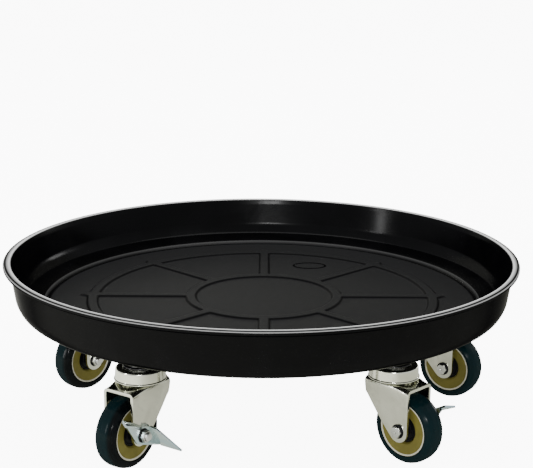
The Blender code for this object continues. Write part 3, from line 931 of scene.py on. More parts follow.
# ---- tray ---------------------------------------------------------------------------------------
@dataclass
class Tray:
    """The moulded tray: rolled lip, curved wall, stepped floor with ribs and bosses underneath."""

    finishes: Finishes
    caster_spots: Sequence[Vector]
    rim_radius: float = RIM_RADIUS
    rim_top: float = RIM_TOP
    depth: float = 34.5 * MM
    floor_thickness: float = 2.5 * MM
    step_radius: float = 161.5 * MM
    satin_radius: float = 158 * MM
    rib_height: float = 1.3 * MM
    rib_width: float = 9.5 * MM
    rib_edge: float = 2.0 * MM
    ring_radii: tuple[float, float] = (55 * MM, 127.5 * MM)
    spokes: int = 8
    arrow_length: float = 7 * MM
    boss_radius: float = 12 * MM
    boss_length: float = 5.5 * MM
    ribbed_zone: tuple[float, float] = (30 * MM, 145 * MM)
    rib_blend: float = 0.7 * MM
    mark_distance: float = 95 * MM
    mark_angle: float = 67.0
    mark_half_size: tuple[float, float] = (13 * MM, 8.5 * MM)
    mark_steps: int = 72
    under_rib_count: int = 24
    under_rings: tuple[float, float] = (51 * MM, 117 * MM)
    under_ring_half: float = 0.9 * MM
    under_rib_depth: float = 3 * MM

    @property
    def floor_top(self) -> float:
        """Height of the floor's upper face."""
        return self.rim_top - self.depth

    @property
    def underside(self) -> float:
        """Height of the floor's lower face."""
        return self.floor_top - self.floor_thickness

    def rib_rise(self, x: float, y: float) -> float:
        """Return how far the floor is raised by its ribs at a point.

        Args:
            x: distance to the right of the middle.
            y: distance behind the middle.

        Returns:
            The rise in metres.
        """
        half = self.rib_width / 2
        radius = math.hypot(x, y)
        if radius < self.ribbed_zone[0] or radius > self.ribbed_zone[1]:
            return 0.0
        inner, outer = self.ring_radii
        gaps = [abs(radius - inner) - half, abs(radius - outer) - half]
        sector = 2 * math.pi / self.spokes
        turn = (math.atan2(y, x) + sector / 2) % sector - sector / 2
        along, beside = radius * math.cos(turn), abs(radius * math.sin(turn))
        gaps.append(max(beside - half, inner - along, along - outer))
        tip = outer + half + self.arrow_length
        slope = math.hypot(half, self.arrow_length)
        slanted = (beside * self.arrow_length - (tip - along) * half) / slope
        gaps.append(max(slanted, outer - along))
        soft = self.rib_blend
        closest = min(gaps)
        blended = closest - soft * math.log(sum(math.exp((closest - gap) / soft) for gap in gaps))
        share = min(1.0, max(0.0, -blended / self.rib_edge))
        return self.rib_height * share * share * (3 - 2 * share)

    def grid_angles(self, radius: float) -> list[float]:
        """Return the angles of the floor's grid lines, which run beside the spokes.

        Args:
            radius: radius of the grid ring.

        Returns:
            The angles in radians, once round the tray.
        """
        reach = 6.0 * MM
        beside = [0.0, 1.5 * MM, 2.6 * MM, 3.2 * MM, 3.8 * MM, 4.3 * MM, 4.8 * MM, 5.3 * MM, reach]
        around = max(radius, 40 * MM)
        sector = 2 * math.pi / self.spokes
        spoke = [math.asin(-offset / around) for offset in reversed(beside)]
        spoke += [math.asin(offset / around) for offset in beside[1:]]
        between = 18
        first, last = spoke[-1], sector + spoke[0]
        field_lines = [first + (last - first) * k / (between + 1) for k in range(1, between + 1)]
        angles = []
        for index in range(self.spokes):
            angles += [index * sector + angle for angle in spoke + field_lines]
        return angles

    def floor_radii(self) -> list[float]:
        """Return the radii of the floor's grid rings, dense over the ring ribs.

        Returns:
            The radii in metres.
        """
        radii = [12.0, 24.0, 34.0, 42.0, 47.0]
        radii += [49.4 + 0.56 * k for k in range(21)]
        radii += [64.0 + 6.5 * k for k in range(9)]
        radii += [121.6 + 0.6 * k for k in range(20)]
        radii += [134.0 + 0.8 * k for k in range(10)]
        radii += [146.0, 152.0, 157.0]
        return [radius * MM for radius in radii]

    def wall_path(self) -> list[Point]:
        """Return the section from the edge of the flat floor round the lip to the underside.

        Returns:
            The points (radius, height).
        """
        top, step = self.rim_top, self.step_radius
        corners = [(157.5 * MM, self.floor_top, 0), (step - 1.2 * MM, self.floor_top, 1.6 * MM),
                   (step + 1.2 * MM, self.floor_top + 2.4 * MM, 1.4 * MM),
                   (step + 8.7 * MM, top - 29.7 * MM, 2 * MM), (175.3 * MM, top - 28.3 * MM, 4 * MM),
                   (179.7 * MM, top - 22.6 * MM, 12 * MM), (183.4 * MM, top - 4 * MM, 20 * MM),
                   (184.3 * MM, top - 0.7 * MM, 0.5 * MM), (185.2 * MM, top, 0.6 * MM),
                   (188.5 * MM, top, 1.6 * MM), (self.rim_radius, top - 0.9 * MM, 0.9 * MM),
                   (self.rim_radius, top - 2.3 * MM, 0.9 * MM), (188.2 * MM, top - 3.8 * MM, 1.0 * MM),
                   (185.4 * MM, top - 4.2 * MM, 0.6 * MM), (184.5 * MM, top - 10 * MM, 30 * MM),
                   (182.0 * MM, top - 27 * MM, 16 * MM), (179.0 * MM, top - 33 * MM, 9 * MM),
                   (171.5 * MM, self.underside + 0.3 * MM, 8 * MM),
                   (164 * MM, self.underside, 6 * MM), (150 * MM, self.underside, 0)]
        return fillet_path(corners, closed=False, steps=8)

    def painted_highlight_share(self, radius: float, height: float) -> float:
        """Return the share of painted highlight at a point of the section: strongest lines on the lip's
        two edges, a faint one at the step.

        Args:
            radius: distance from the middle.
            height: height above the ground.

        Returns:
            The share, from 0 to 1.
        """
        top, step = self.rim_top, self.step_radius
        edges = ((185.3 * MM, top - 0.05 * MM, 0.7 * MM, 1.0),
                 (189.4 * MM, top - 0.5 * MM, 0.6 * MM, 0.6),
                 (step + 0.9 * MM, self.floor_top + 2.0 * MM, 0.5 * MM, 0.07))
        return max(share * max(0.0, 1.0 - math.dist((radius, height), (at, level)) / reach)
                   for at, level, reach, share in edges)

    def shell_mesh(self) -> bpy.types.Mesh:
        """Return the tray's shell: ribbed floor, wall, lip and underside, with its three masks.

        Returns:
            The mesh.
        """
        bm = bmesh.new()
        mask = bm.verts.layers.float.new("satin")
        # The edge mask carries the painted highlight lines on the lip's edges and the step.
        edge = bm.verts.layers.float.new("edge")
        # The crease mask carries painted shade along the rib edges, strongest halfway up each rib's
        # side.
        painted_crease_shade = bm.verts.layers.float.new("painted_crease_shade")
        rows = [(radius, self.floor_top, True) for radius in self.floor_radii()]
        rows += [(radius, height, False) for radius, height in self.wall_path()]
        rows += [(radius, self.underside, False) for radius in (110 * MM, 60 * MM, 20 * MM)]
        rings = []
        for radius, height, ribbed in rows:
            ring = []
            for angle in self.grid_angles(radius):
                x, y = radius * math.cos(angle), radius * math.sin(angle)
                rise = self.rib_rise(x, y) if ribbed else 0.0
                vert = bm.verts.new((x, y, height + rise))
                inside = height > self.underside + 0.2 * MM
                share = rise / self.rib_height
                vert[mask] = 1.0 if inside and radius < self.satin_radius else 0.0
                vert[edge] = self.painted_highlight_share(radius, height)
                vert[painted_crease_shade] = 4 * share * (1 - share)
                ring.append(vert)
            rings.append(ring)
        poles = [bm.verts.new((0, 0, self.floor_top)), bm.verts.new((0, 0, self.underside))]
        poles[0][mask] = 1.0
        count = len(rings[0])
        for low, high in zip(rings, rings[1:]):
            for k in range(count):
                after = (k + 1) % count
                bm.faces.new((low[k], low[after], high[after], high[k]))
        for pole, ring in ((poles[0], rings[0]), (poles[1], rings[-1])):
            for k in range(count):
                bm.faces.new((pole, ring[k], ring[(k + 1) % count]))
        return finish_mesh(bm, "tray_shell", 50)

    def mark_mesh(self) -> bpy.types.Mesh:
        """Return a plain oval that the mould leaves on the floor, between two spokes.

        Returns:
            The mesh.
        """
        bm = bmesh.new()
        angle, count = math.radians(self.mark_angle), self.mark_steps
        centre = Vector((self.mark_distance * math.cos(angle), self.mark_distance * math.sin(angle),
                         self.floor_top))
        wide, deep = self.mark_half_size
        loops = []
        for shift, rise in ((-0.9, -0.1), (-0.5, 0.45), (0.5, 0.45), (0.9, -0.1)):
            loop = []
            for k in range(count):
                turn = 2 * math.pi * k / count
                offset = Vector(((wide + shift * MM) * math.cos(turn),
                                 (deep + shift * MM) * math.sin(turn), rise * MM))
                loop.append(bm.verts.new(centre + offset))
            loops.append(loop)
        for low, high in zip(loops, loops[1:] + loops[:1]):
            for k in range(count):
                after = (k + 1) % count
                bm.faces.new((low[k], low[after], high[after], high[k]))
        return finish_mesh(bm, "mould_oval")

    def boss_mesh(self) -> bpy.types.Mesh:
        """Return one hollow boss, about its own axis.

        Returns:
            The mesh.
        """
        low, high = self.underside - self.boss_length, self.underside + 0.6 * MM
        path = fillet_path([(PIN_BORE, low, 0.5 * MM), (self.boss_radius, low, 0.8 * MM),
                            (self.boss_radius, self.underside - 1.2 * MM, 1.5 * MM),
                            (self.boss_radius + 1.6 * MM, high, 0), (PIN_BORE, high, 0)], closed=True)
        return turned_mesh("stem_boss", path, 64)

    def build(self, ribs: RepeatTree) -> None:
        """Make the tray's pieces and hand them to the frame.

        Args:
            ribs: the tree that makes radial ribs.
        """
        finish = self.finishes["tray_black"]
        deliver("tray_shell", self.shell_mesh(), [finish], "root", ["tray"])
        deliver("mould_oval", self.mark_mesh(), [finish], "root")
        boss = self.boss_mesh()
        for index, spot in enumerate(self.caster_spots):
            place = Matrix.Translation((spot.x, spot.y, 0))
            deliver(f"stem_boss_{index + 1}", moved(boss, place, f"stem_boss_{index + 1}"), [finish],
                    "root")
        depth, half = self.under_rib_depth, self.under_ring_half
        under = ribs.run("under_ribs", finish, Count=self.under_rib_count, Middle_Radius=84 * MM,
                         Length=66 * MM, Thickness=1.8 * MM, Depth=depth,
                         Height=self.underside - 1.3 * MM)
        deliver("under_ribs", eased(under, 0.3 * MM), [finish], "root")
        sunk, low = self.underside + 0.2 * MM, self.underside - depth
        for label, radius in zip(("inner", "outer"), self.under_rings):
            path = fillet_path([(radius - half, sunk, 0), (radius - half, low, 0.4 * MM),
                                (radius + half, low, 0.4 * MM), (radius + half, sunk, 0)],
                               closed=True, steps=3)
            ring = turned_mesh(f"under_ring_{label}", path, 160)
            deliver(f"under_ring_{label}", ring, [finish], "root")


# ---- caster -------------------------------------------------------------------------------------
@dataclass(frozen=True)
class CasterPlace:
    """Where one caster stands: its own frame has the wheel trailing to +X and the axle along Y."""

    name: str
    matrix: Matrix
    spot: Vector
    brake: BrakeSide

    @staticmethod
    def from_frame(frame: dict, name: str) -> CasterPlace:
        """Read a caster's place from the frame's joints.

        Args:
            name: the caster's name.

        Returns:
            The caster's place.
        """
        joints = {joint["name"]: joint for joint in frame["joints"]}
        swivel = Vector(joints[f"swivel_{name}_turn"]["pos_m"])
        axle = Vector(joints[f"wheel_{name}_roll"]["pos_m"])
        heading = math.atan2(axle.y - swivel.y, axle.x - swivel.x)
        spot = Vector((swivel.x, swivel.y, 0))
        matrix = Matrix.Translation(spot) @ Matrix.Rotation(heading, 4, "Z")
        side = BrakeSide.NONE
        if f"brake_lever_{name}" in frame["nodes"]:
            low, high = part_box(f"brake_lever_{name}")
            middle = matrix.inverted() @ ((low + high) / 2)
            side = BrakeSide.LEFT if middle.y > 0 else BrakeSide.RIGHT
        return CasterPlace(name, matrix, spot, side)


def eased_step(value: float) -> float:
    """Ease from 0 to 1."""
    value = min(1.0, max(0.0, value))
    return value * value * (3 - 2 * value)


@dataclass
class StemMount:
    """Fixed top of a caster: kingpin, lock nut and upper race."""

    finishes: Finishes
    pin_radius: float = 4.6 * MM
    fork_top: float = FORK_TOP
    sheet: float = SHEET
    stem_top: float = 80.6 * MM
    race_bottom: float = 67.6 * MM
    nut_top: float = 75.2 * MM
    nut_radius: float = 9 * MM

    def stem(self) -> bpy.types.Mesh:
        """Return the kingpin with its riveted head under the fork's plate.

        Returns:
            The mesh.
        """
        plate = self.fork_top - self.sheet - 0.3 * MM
        corners = [(0, plate - 2.1 * MM, 0), (4.4 * MM, plate - 2.1 * MM, 1.6 * MM),
                   (5.6 * MM, plate - 1.2 * MM, 0.5 * MM), (5.6 * MM, plate, 0.2 * MM),
                   (self.pin_radius, plate, 0), (self.pin_radius, self.stem_top - 0.8 * MM, 0.2 * MM),
                   (self.pin_radius - 0.8 * MM, self.stem_top, 0.2 * MM), (0, self.stem_top, 0)]
        return turned_mesh("stem", fillet_path(corners, closed=False, steps=4), 48, closed=False)

    def race(self) -> bpy.types.Mesh:
        """Return the dished washer that stays with the stem.

        Returns:
            The mesh.
        """
        low = self.race_bottom
        corners = [(PIN_BORE, low, 0.1 * MM), (11.4 * MM, low, 0.2 * MM),
                   (12 * MM, low + 0.5 * MM, 0.3 * MM), (10.6 * MM, low + 1.5 * MM, 0.6 * MM),
                   (PIN_BORE, low + 1.5 * MM, 0.1 * MM)]
        return turned_mesh("upper_race", fillet_path(corners, closed=True, steps=4), 72)

    def build(self, place: CasterPlace) -> None:
        """Make the pieces of one caster's mount.

        Args:
            place: where the caster stands and how it is turned.
        """
        name = place.name
        zinc = self.finishes["zinc_plate"]
        deliver(f"kingpin_{name}", moved(self.stem(), place.matrix, f"kingpin_{name}"), [zinc],
                "root", [f"stem_{name}"])
        nut = hex_nut("mount_nut", self.nut_radius, PIN_BORE, self.race_bottom + 1.8 * MM, self.nut_top)
        deliver(f"mount_nut_{name}", moved(nut, place.matrix, f"mount_nut_{name}"), [zinc],
                "root", [f"lock_nut_{name}"])
        deliver(f"race_{name}", moved(self.race(), place.matrix, f"race_{name}"),
                [self.finishes["dark_race"]], "root", [f"upper_race_{name}"])


def hex_nut(name: str, corner_radius: float, bore: float, low: float, high: float) -> bpy.types.Mesh:
    """Make a hexagonal nut about Z with chamfered corners and a bore.

    Args:
        name: the mesh's name.
        corner_radius: radius to the hexagon's corners.
        bore: radius of the hole, or 0 for a bolt's head.
        low: lower face.
        high: upper face.

    Returns:
        The mesh.
    """
    flat = corner_radius * math.cos(math.pi / 6)
    drop = (corner_radius - flat) * 0.75
    block = prism_mesh(f"{name}_block", circle(corner_radius, 6), low, high)
    limit_path = [(0, low), (corner_radius * 1.1, low), (corner_radius * 1.1, high - drop * 1.3),
                  (flat * 0.97, high), (0, high)]
    limit = turned_mesh(f"{name}_limit", limit_path, 64, closed=False)
    body = combined(block, [limit], "INTERSECT")
    if bore:
        hole = prism_mesh(f"{name}_bore", circle(bore, 40), low - 1 * MM, high + 1 * MM)
        body = combined(body, [hole], "DIFFERENCE")
    return eased(body, 0.18 * MM, 2, 24)


@dataclass
class SwivelHead:
    """Turning top of a caster: pressed dome and the balls inside it."""

    finishes: Finishes
    balls: RepeatTree
    radius: float = 17.3 * MM
    bottom: float = 58.3 * MM
    height: float = 9 * MM
    wall: float = 1.6 * MM
    ball_radius: float = 1.7 * MM
    ball_circle: float = 10.5 * MM
    ball_count: int = 16

    def dome(self) -> bpy.types.Mesh:
        """Return the pressed cup with its brim.

        Returns:
            The mesh.
        """
        low, top, wide = self.bottom, self.bottom + self.height, self.radius
        brim = wide + 0.55 * MM
        corners = [(wide - self.wall, low, 0.2 * MM), (brim, low, 0.3 * MM),
                   (brim, low + 0.7 * MM, 0.3 * MM), (wide - 0.1 * MM, low + 1.1 * MM, 0.4 * MM),
                   (wide - 0.6 * MM, top - 0.4 * MM, 1.9 * MM), (wide - 4 * MM, top, 2.5 * MM),
                   (10 * MM, top - 0.4 * MM, 1 * MM), (PIN_BORE, top - 0.4 * MM, 0.3 * MM),
                   (PIN_BORE, top - 1.9 * MM, 0.1 * MM), (wide - 5.2 * MM, top - 1.8 * MM, 1 * MM),
                   (wide - 2.5 * MM, top - 3 * MM, 1 * MM)]
        return turned_mesh("dome", fillet_path(corners, closed=True, steps=6), 112)

    def build(self, place: CasterPlace) -> None:
        """Make the pieces of one swivel head.

        Args:
            place: where the caster stands and how it is turned.
        """
        name = place.name
        body = f"swivel_{name}"
        deliver(f"swivel_dome_{name}", moved(self.dome(), place.matrix, f"swivel_dome_{name}"),
                [self.finishes["bright_plate"]], body, [f"dome_{name}"])
        finish = self.finishes["zinc_plate"]
        ring = self.balls.run("balls", finish, Count=self.ball_count, Ring_Radius=self.ball_circle,
                              Ball_Radius=self.ball_radius, Height=self.bottom + 2.2 * MM)
        deliver(f"balls_{name}", moved(ring, place.matrix, f"balls_{name}"), [finish], body,
                [f"ball_ring_{name}"])


@dataclass
class Fork:
    """Fork pressed from one sheet: a top plate and two legs that end round the axle."""

    finishes: Finishes
    trail: float = CASTER_TRAIL
    axle_height: float = AXLE_HEIGHT
    sheet: float = SHEET
    half_width: float = 12.6 * MM
    eye_radius: float = 7.8 * MM
    front_height: float = 55.4 * MM
    top_height: float = FORK_TOP
    back_reach: float = 14 * MM
    back_height: float = 47 * MM
    flare: float = 1.5 * MM
    bend: float = 3 * MM

    @property
    def front(self) -> float:
        """Front edge of the legs."""
        return self.trail + self.eye_radius

    def back_edge(self) -> tuple[Vector, Vector]:
        """Return where the upright back edge starts to slant and where it meets the round leg end.

        Returns:
            Both points, as (distance from the swivel axis, height).
        """
        top = Vector((-self.back_reach, self.back_height))
        to_eye = Vector((self.trail, self.axle_height)) - top
        angle = math.atan2(to_eye.y, to_eye.x) - math.asin(self.eye_radius / to_eye.length)
        length = math.sqrt(to_eye.length ** 2 - self.eye_radius ** 2)
        return top, top + length * Vector((math.cos(angle), math.sin(angle)))

    def leg_bottom(self, x: float) -> float:
        """Return the height of the leg's lower edge at a distance from the swivel axis.

        Args:
            x: distance from the swivel axis.

        Returns:
            The height.
        """
        top, tangent = self.back_edge()
        if x < tangent.x:
            share = (x - top.x) / (tangent.x - top.x)
            return top.y + (tangent.y - top.y) * share - 1 * MM * math.sin(math.pi * share)
        rise = max(0.0, self.eye_radius ** 2 - (x - self.trail) ** 2)
        return self.axle_height - math.sqrt(rise)

    def plate_height(self, x: float) -> float:
        """Return the height of the top plate, which rises from the front edge to the dome.

        Args:
            x: distance from the swivel axis.

        Returns:
            The height.
        """
        rise = eased_step((self.front - x) / (15 * MM))
        return self.front_height + (self.top_height - self.front_height) * rise

    def reach(self, x: float, z: float) -> float:
        """Return the fork's outer half-width; the legs flare at the top, towards the dome.

        Args:
            x: distance from the swivel axis.
            z: height above the ground.

        Returns:
            The half-width.
        """
        upward = eased_step((z - 44 * MM) / (11 * MM))
        backward = eased_step((self.front - 2 * MM - x) / (18 * MM))
        return self.half_width + self.flare * upward * backward

    def section(self, x: float) -> list[Point]:
        """Return the closed cross-section at a station along the caster's length.

        Args:
            x: distance from the swivel axis.

        Returns:
            The points (across, height).
        """
        low, top = self.leg_bottom(x), self.plate_height(x)
        outer, inner = [], []
        for share in (0, 0.2, 0.4, 0.55, 0.7, 0.8, 0.9, 1.0):
            z = low + (top - self.bend - low) * share
            outer.append((self.reach(x, z), z))
            inner.append((self.reach(x, z) - self.sheet, z))
        wide = self.reach(x, top) - self.bend
        for step in range(1, 7):
            angle = step * math.pi / 12
            lift = top - self.bend
            outer.append((wide + self.bend * math.cos(angle), lift + self.bend * math.sin(angle)))
            radius = self.bend - self.sheet
            inner.append((wide + radius * math.cos(angle), lift + radius * math.sin(angle)))
        for share in (0.66, 0.33):
            outer.append((wide * share, top))
            inner.append((wide * share, top - self.sheet))
        outer += [(-y, z) for y, z in reversed(outer)]
        inner += [(-y, z) for y, z in reversed(inner)]
        return outer + inner[::-1]

    def mesh(self) -> bpy.types.Mesh:
        """Return the fork with its kingpin and axle holes and rounded edges.

        Returns:
            The mesh.
        """
        _, tangent = self.back_edge()
        back = -self.back_reach
        stations = [back + (tangent.x - back) * k / 12 for k in range(13)]
        first = math.acos((tangent.x - self.trail) / self.eye_radius)
        stations += [self.trail + self.eye_radius * math.cos(first * (1 - k / 16))
                     for k in range(1, 17)]
        bm = bmesh.new()
        rings = [[bm.verts.new((x, y, z)) for y, z in self.section(x)] for x in stations]
        count = len(rings[0])
        for near, far in zip(rings, rings[1:]):
            for k in range(count):
                after = (k + 1) % count
                bm.faces.new((near[k], near[after], far[after], far[k]))
        for ring in (rings[0], rings[-1]):
            for k in range(count // 2 - 1):
                bm.faces.new((ring[k], ring[k + 1], ring[count - 2 - k], ring[count - 1 - k]))
        solid = finish_mesh(bm, "fork", 30)
        pin = prism_mesh("pin_hole", circle(PIN_BORE, 40), self.top_height - 6 * MM,
                         self.top_height + 4 * MM)
        wide = self.half_width + 4 * MM
        axle = prism_mesh("axle_hole", circle(AXLE_BORE, 40), -wide, wide)
        axle.transform(Matrix.Translation((self.trail, 0, self.axle_height)) @ ALONG_AXLE)
        return eased(combined(solid, [pin, axle], "DIFFERENCE"), 0.42 * MM, 3, 50)

    def build(self, place: CasterPlace, shape: bpy.types.Mesh) -> None:
        """Place one fork.

        Args:
            place: where the caster stands and how it is turned.
            shape: the fork in the caster's own frame.
        """
        name = place.name
        deliver(f"leg_fork_{name}", moved(shape, place.matrix, f"leg_fork_{name}"),
                [self.finishes["bright_plate"]], f"swivel_{name}", [f"fork_{name}"])


@dataclass
class Axle:
    """Axle bolt with its thread, two thin black washers that stand in for the shade round the head and
    the nut, and the nut.
    """

    finishes: Finishes
    thread: RepeatTree
    radius: float = 2.9 * MM
    leg_outside: float = 12.9 * MM
    lever_outside: float = 14.7 * MM
    free_end: float = 5.2 * MM
    head_radius: float = 4.1 * MM
    head_height: float = 2.7 * MM
    dimple_radius: float = 0.9 * MM
    dimple_depth: float = 0.7 * MM
    nut_radius: float = 4.3 * MM
    nut_height: float = 3.5 * MM
    turns: float = 1.7
    pitch: float = 0.8 * MM
    ridge: float = 0.22 * MM
    thread_start: float = 3.4 * MM
    washer_hole: float = 3.1 * MM
    washer_radius: float = 5 * MM
    washer_height: float = 0.28 * MM

    def bolt(self, nut_face: float) -> bpy.types.Mesh:
        """Return the bolt, about Z, with its head at the low end.

        Args:
            nut_face: where the nut starts, from the middle of the axle.

        Returns:
            The mesh.
        """
        low = -self.leg_outside
        head = hex_nut("bolt_head", self.head_radius, 0, 0, self.head_height)
        dimple = prism_mesh("dimple", circle(self.dimple_radius, 24),
                            self.head_height - self.dimple_depth, self.head_height + 1 * MM)
        head = combined(head, [dimple], "DIFFERENCE")
        head.transform(Matrix.Translation((0, 0, low)) @ Matrix.Rotation(math.pi, 4, "X"))
        end = nut_face + self.free_end
        path = fillet_path([(0, low - 0.5 * MM, 0), (self.radius, low - 0.5 * MM, 0),
                            (self.radius, end - 0.6 * MM, 0.2 * MM),
                            (self.radius - 0.7 * MM, end, 0.3 * MM), (0, end, 0)], closed=False, steps=4)
        return combined(head, [turned_mesh("shank", path, 40, closed=False)], "UNION")

    def shade_washer(self, name: str, start: float) -> bpy.types.Mesh:
        """Return a thin washer that starts at a height on the axle.

        Args:
            name: the mesh's name.
            start: its lower face, from the middle of the axle.

        Returns:
            The mesh.
        """
        top = start + self.washer_height
        ring = fillet_path([(self.washer_hole, start, 0), (self.washer_radius, start, 0.1 * MM),
                            (self.washer_radius, top, 0.1 * MM), (self.washer_hole, top, 0)],
                           closed=True, steps=2)
        return turned_mesh(name, ring, 64)

    def build(self, place: CasterPlace, axle_matrix: Matrix) -> None:
        """Make the bolt, its thread, the washers and the nut of one caster.

        Args:
            place: where the caster stands and how it is turned.
            axle_matrix: the axle's middle and direction, in the tray's frame.
        """
        name, body = place.name, f"swivel_{place.name}"
        zinc = self.finishes["zinc_plate"]
        face = self.leg_outside if place.brake is BrakeSide.NONE else self.lever_outside
        flip = Matrix.Scale(-1, 4, (0, 0, 1)) if place.brake is BrakeSide.RIGHT else Matrix.Identity(4)
        matrix = axle_matrix @ ALONG_AXLE @ flip
        bolt = self.bolt(face)
        bolt.shade_smooth()
        bolt.set_sharp_from_angle(angle=math.radians(35))
        deliver(f"axle_bolt_{name}", moved(bolt, matrix, f"axle_bolt_{name}"), [zinc],
                body, [f"axle_{name}"])
        ridge = self.thread.run("ridge", zinc, Turns=self.turns, Rod_Radius=self.radius - 0.1 * MM,
                                Pitch=self.pitch, Ridge=self.ridge, Start=face + self.thread_start)
        deliver(f"axle_thread_{name}", moved(ridge, matrix, f"axle_thread_{name}"), [zinc],
                body)
        # The thin washers are black as painted shade: they stand in for the dark contact shade round the
        # bolt head and the nut.
        for side, start in (("head", -self.leg_outside), ("nut", face - self.washer_height)):
            shade_washer = self.shade_washer(f"{side}_washer", start)
            deliver(f"{side}_washer_{name}", moved(shade_washer, matrix, f"{side}_washer_{name}"),
                    [self.finishes["bush_black"]], body)
        nut = hex_nut("nut", self.nut_radius, AXLE_BORE, face, face + self.nut_height)
        deliver(f"flange_nut_{name}", moved(nut, matrix, f"flange_nut_{name}"), [zinc],
                body, [f"axle_nut_{name}"])


@dataclass
class Wheel:
    """Wheel: tyre, olive core with a cream bead on each face, and black bush."""

    finishes: Finishes
    radius: float = 25 * MM
    half_width: float = 8.5 * MM
    core_radius: float = 18.9 * MM
    core_half: float = 7.6 * MM
    bead_width: float = 1.15 * MM
    bead_depth: float = 1.6 * MM
    bush_radius: float = 9.4 * MM
    bore: float = AXLE_BORE
    spacer_radius: float = 5 * MM
    spacer_reach: float = 10.2 * MM

    @staticmethod
    def both_sides(half: Sequence[Corner]) -> list[Corner]:
        """Return a closed section from its upper half."""
        return list(half) + [(a, -b, r) for a, b, r in reversed(half)]

    def tyre(self) -> bpy.types.Mesh:
        """Return the tyre; its section starts in the middle of the bore side.

        Returns:
            The mesh.
        """
        inner, side, wide = self.core_radius + 0.3 * MM, self.half_width, self.radius
        half = [(inner, side - 0.3 * MM, 0.3 * MM), (wide - 3.6 * MM, side, 0.8 * MM),
                (wide - 0.9 * MM, side - 2.2 * MM, 3 * MM), (wide, side - 5.4 * MM, 6 * MM)]
        path = fillet_path(self.both_sides(half), closed=True, steps=8)
        return turned_mesh("tyre", path, 144)

    def core(self) -> bpy.types.Mesh:
        """Return the core, whose outer bead on each face has its own colour.

        Returns:
            The mesh.
        """
        face, wide = self.core_half, self.core_radius
        bore = self.bush_radius + 0.3 * MM
        half = [(bore, face - 2.4 * MM, 0.4 * MM), (bore + 1.0 * MM, face - 0.9 * MM, 0.5 * MM),
                (wide - 1.3 * MM, face - 0.5 * MM, 0.3 * MM), (wide - 0.9 * MM, face, 0.3 * MM),
                (wide, face, 0.3 * MM)]
        mesh = turned_mesh("core", fillet_path(self.both_sides(half), closed=True, steps=4), 128)
        for face_item in mesh.polygons:
            middle = face_item.center
            beyond = math.hypot(middle.x, middle.y) > wide - self.bead_width
            if beyond and abs(middle.z) > self.core_half - self.bead_depth:
                face_item.material_index = 1
        return mesh

    def bush(self) -> bpy.types.Mesh:
        """Return the bush and its spacer tube.

        Returns:
            The mesh.
        """
        half = [(self.bore, self.spacer_reach, 0.2 * MM),
                (self.spacer_radius, self.spacer_reach, 0.4 * MM),
                (self.spacer_radius, 4.6 * MM, 0.5 * MM), (7.6 * MM, 4.2 * MM, 0.3 * MM),
                (8.2 * MM, 4.9 * MM, 0.3 * MM),
                (self.bush_radius, 4.9 * MM, 0.3 * MM)]
        return turned_mesh("bush", fillet_path(self.both_sides(half), closed=True, steps=4), 96)

    def build(self, place: CasterPlace, axle_matrix: Matrix) -> None:
        """Make one wheel's pieces.

        Args:
            place: where the caster stands and how it is turned.
            axle_matrix: the axle's middle and direction, in the tray's frame.
        """
        name, body = place.name, f"wheel_{place.name}"
        matrix = axle_matrix @ ALONG_AXLE
        deliver(f"wheel_tyre_{name}", moved(self.tyre(), matrix, f"wheel_tyre_{name}"),
                [self.finishes["tyre_rubber"]], body, [f"tyre_{name}"])
        core = moved(self.core(), matrix, f"wheel_core_{name}")
        deliver(f"wheel_core_{name}", core, [self.finishes["core_olive"], self.finishes["bead_cream"]],
                body, [f"core_{name}"])
        deliver(f"wheel_bush_{name}", moved(self.bush(), matrix, f"wheel_bush_{name}"),
                [self.finishes["bush_black"]], body, [f"bush_{name}"])


